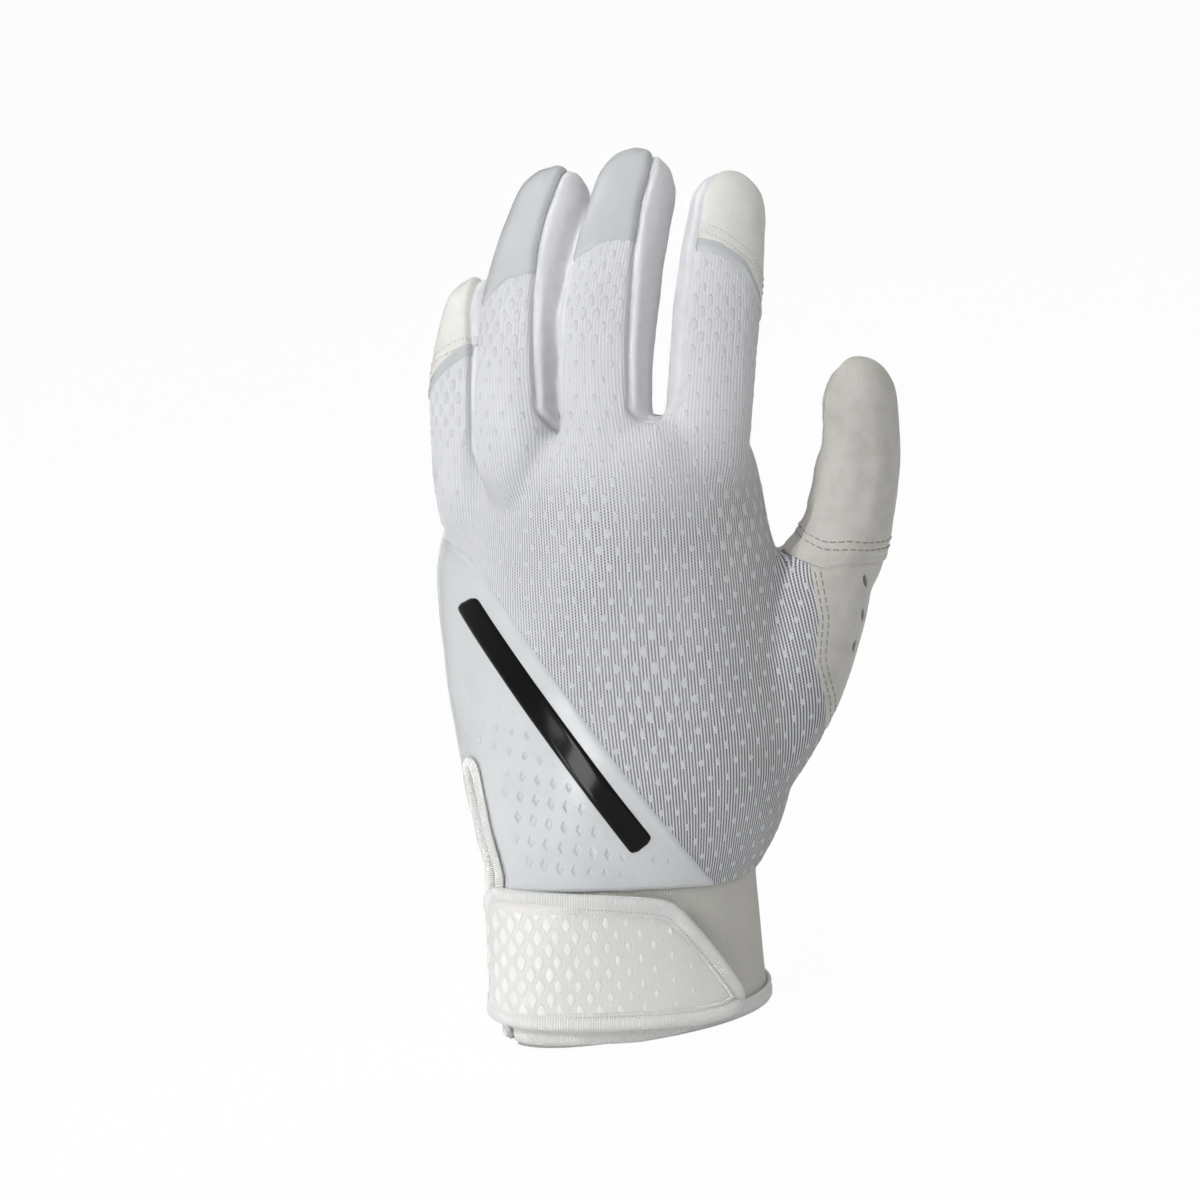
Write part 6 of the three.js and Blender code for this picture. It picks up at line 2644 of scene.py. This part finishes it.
@dataclass
class Studio:
    """Floor, soft lights and camera.

    Args:
        target: what the camera looks at, in mm.
        distance: how far off the camera stands, in mm.
        elevation: how far above the glove's middle it stands, in degrees.
        roll: how far it is turned about its own line of sight, in degrees.
        lens: its focal length in mm.
        sensor: the width of its sensor in mm.
        floor_glow: how white the camera sees the floor.
        lamps: each lamp's name, place, size, power, mirroring, aim and spread.
    """

    target: tuple = (-18.21, -1.62, 107.75)
    distance: float = 900.0
    elevation: float = 10.0
    roll: float = 5.0
    lens: float = 108.0
    sensor: float = 36.0
    floor_glow: float = 0.965
    lamps: tuple = (
        ("key softbox, gridded", (-0.725, -0.57, 0.69), (0.25, 0.6), 0.255, False, (-0.078, 0, 0.145), 14),
        ("fill softbox", (1.5, -0.8, 0.7), (0.9, 0.9), 3.2, False, MIDDLE_OF_GLOVE, 180),
        ("rim softbox", (0.3, 1.2, 1.3), (1.0, 1.0), 3.0, False, MIDDLE_OF_GLOVE, 180),
        ("top softbox", (-0.3, -0.55, 1.35), (0.2, 1.0), 3.2, False, MIDDLE_OF_GLOVE, 180),
        ("strip light", (-0.55, 0.19, 1.02), (0.05, 0.95), 0.6, True, (-0.02, 0, 0.19), 180),
        ("low card", (-0.34, -0.36, 0.04), (0.07, 0.07), 0.1, True, (-0.03, -0.03, 0.04), 180),
        ("low kicker", (-0.42, -0.85, 0.06), (0.22, 0.22), 1.0, True, MIDDLE_OF_GLOVE, 180),
    )

    def build(self) -> None:
        """Sets up the studio."""
        self.camera()
        self.floor()
        self.world()
        for name, place, size, power, mirrored, aim, spread in self.lamps:
            self.lamp(name, place, size, power, mirrored, aim, spread)
        bpy.context.scene.view_settings.view_transform = "Standard"

    def camera(self) -> None:
        """Places the camera at the photograph's viewing angle."""
        rise, roll = math.radians(self.elevation), math.radians(self.roll)
        upright = Vector((0, math.sin(rise), math.cos(rise)))
        across = Vector((1, 0, 0))
        right = across * math.cos(roll) - upright * math.sin(roll)
        up = across * math.sin(roll) + upright * math.cos(roll)
        backwards = right.cross(up)
        place = Vector(self.target) + backwards * self.distance
        data = bpy.data.cameras.new("camera")
        data.type = "PERSP"
        data.lens = self.lens
        data.sensor_width = self.sensor
        camera = bpy.data.objects.new("camera", data)
        bpy.context.scene.collection.objects.link(camera)
        turn = Matrix((right, up, backwards)).transposed().to_4x4()
        camera.matrix_world = Matrix.Translation(place * METRES_PER_MM) @ turn
        bpy.context.scene.camera = camera

    def floor(self) -> None:
        """Lays a wide pale floor with a smooth rise behind."""
        half_width, front, bend, radius, top = 8, -6, 2.0, 1.5, 5
        turns = np.linspace(0.1, math.pi / 2, 16)
        profile = [(front, 0), (bend, 0)]
        profile += [(bend + radius * math.sin(a), radius - radius * math.cos(a)) for a in turns]
        profile += [(bend + radius, top)]
        points = [(x, depth, height) for depth, height in profile for x in (-half_width, half_width)]
        faces = [[2 * i, 2 * i + 1, 2 * i + 3, 2 * i + 2] for i in range(len(profile) - 1)]
        mesh = bpy.data.meshes.new("studio floor")
        mesh.from_pydata(points, [], faces)
        material = bpy.data.materials.new("paper sweep, white")
        material.use_nodes = True
        tree = material.node_tree
        tree.nodes.clear()
        path = add_node(tree, "ShaderNodeLightPath")
        matt = add_node(tree, "ShaderNodeBsdfDiffuse", {}, {"Color": linear("#F4F4F4")})
        lit = add_node(tree, "ShaderNodeEmission", {}, {"Color": (1, 1, 1, 1), "Strength": 1.0})
        seen = add_node(tree, MATH, MULTIPLY, {0: path.outputs["Is Camera Ray"], 1: self.floor_glow})
        mixed = add_node(tree, "ShaderNodeMixShader", {}, {0: seen, 1: matt, 2: lit})
        add_node(tree, "ShaderNodeOutputMaterial", {}, {"Surface": mixed})
        mesh.materials.append(material)
        floor = bpy.data.objects.new("studio_floor", mesh)
        bpy.context.scene.collection.objects.link(floor)

    def world(self) -> None:
        """Sets an even pale surround, which the camera sees as white."""
        world = bpy.data.worlds.new("studio surround")
        world.use_nodes = True
        tree = world.node_tree
        tree.nodes.clear()
        path = add_node(tree, "ShaderNodeLightPath").outputs
        soft = add_node(tree, "ShaderNodeBackground", {}, {"Color": (1, 1, 1, 1), "Strength": 0.36})
        white = add_node(tree, "ShaderNodeBackground", {}, {"Color": linear("#FDFDFD"), "Strength": 1.0})
        rays = {0: path["Is Camera Ray"], 1: path["Is Transmission Ray"]}
        seen = add_node(tree, MATH, {"operation": "MAXIMUM"}, rays)
        mixed = add_node(tree, "ShaderNodeMixShader", {}, {0: seen, 1: soft, 2: white})
        add_node(tree, "ShaderNodeOutputWorld", {}, {"Surface": mixed})
        bpy.context.scene.world = world

    def lamp(
        self,
        name: str,
        place: tuple,
        size: tuple,
        power: float,
        mirrored: bool,
        aim: tuple,
        spread: float,
    ) -> None:
        """Hangs one soft lamp.

        Args:
            name: the lamp's name.
            place: where it hangs, in metres.
            size: its width and length in metres.
            power: its power in watts.
            mirrored: whether glossy faces show it.
            aim: where it points, in metres.
            spread: the angle that its light fans out to, in degrees.
        """
        data = bpy.data.lights.new(name, "AREA")
        data.shape = "RECTANGLE"
        data.size, data.size_y = size
        data.energy = power
        data.spread = math.radians(spread)
        lamp = bpy.data.objects.new(name, data)
        bpy.context.scene.collection.objects.link(lamp)
        lamp.location = place
        lamp.visible_glossy = mirrored
        lamp.rotation_euler = (Vector(aim) - Vector(place)).to_track_quat("-Z", "Y").to_euler()


def main() -> None:
    """Builds the glove's sub-assemblies in order, then the studio."""
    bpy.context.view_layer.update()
    hand = SewnHand()
    hand.build()
    Panels(hand).pieces()
    Films(hand).pieces()
    surface = CuffSurface(hand)
    Cuff(surface).pieces()
    strap = Strap(surface)
    strap.pieces()
    Stitching(hand, strap).pieces()
    Dots(hand).pieces()
    Studio().build()


if __name__ == "__main__":
    main()
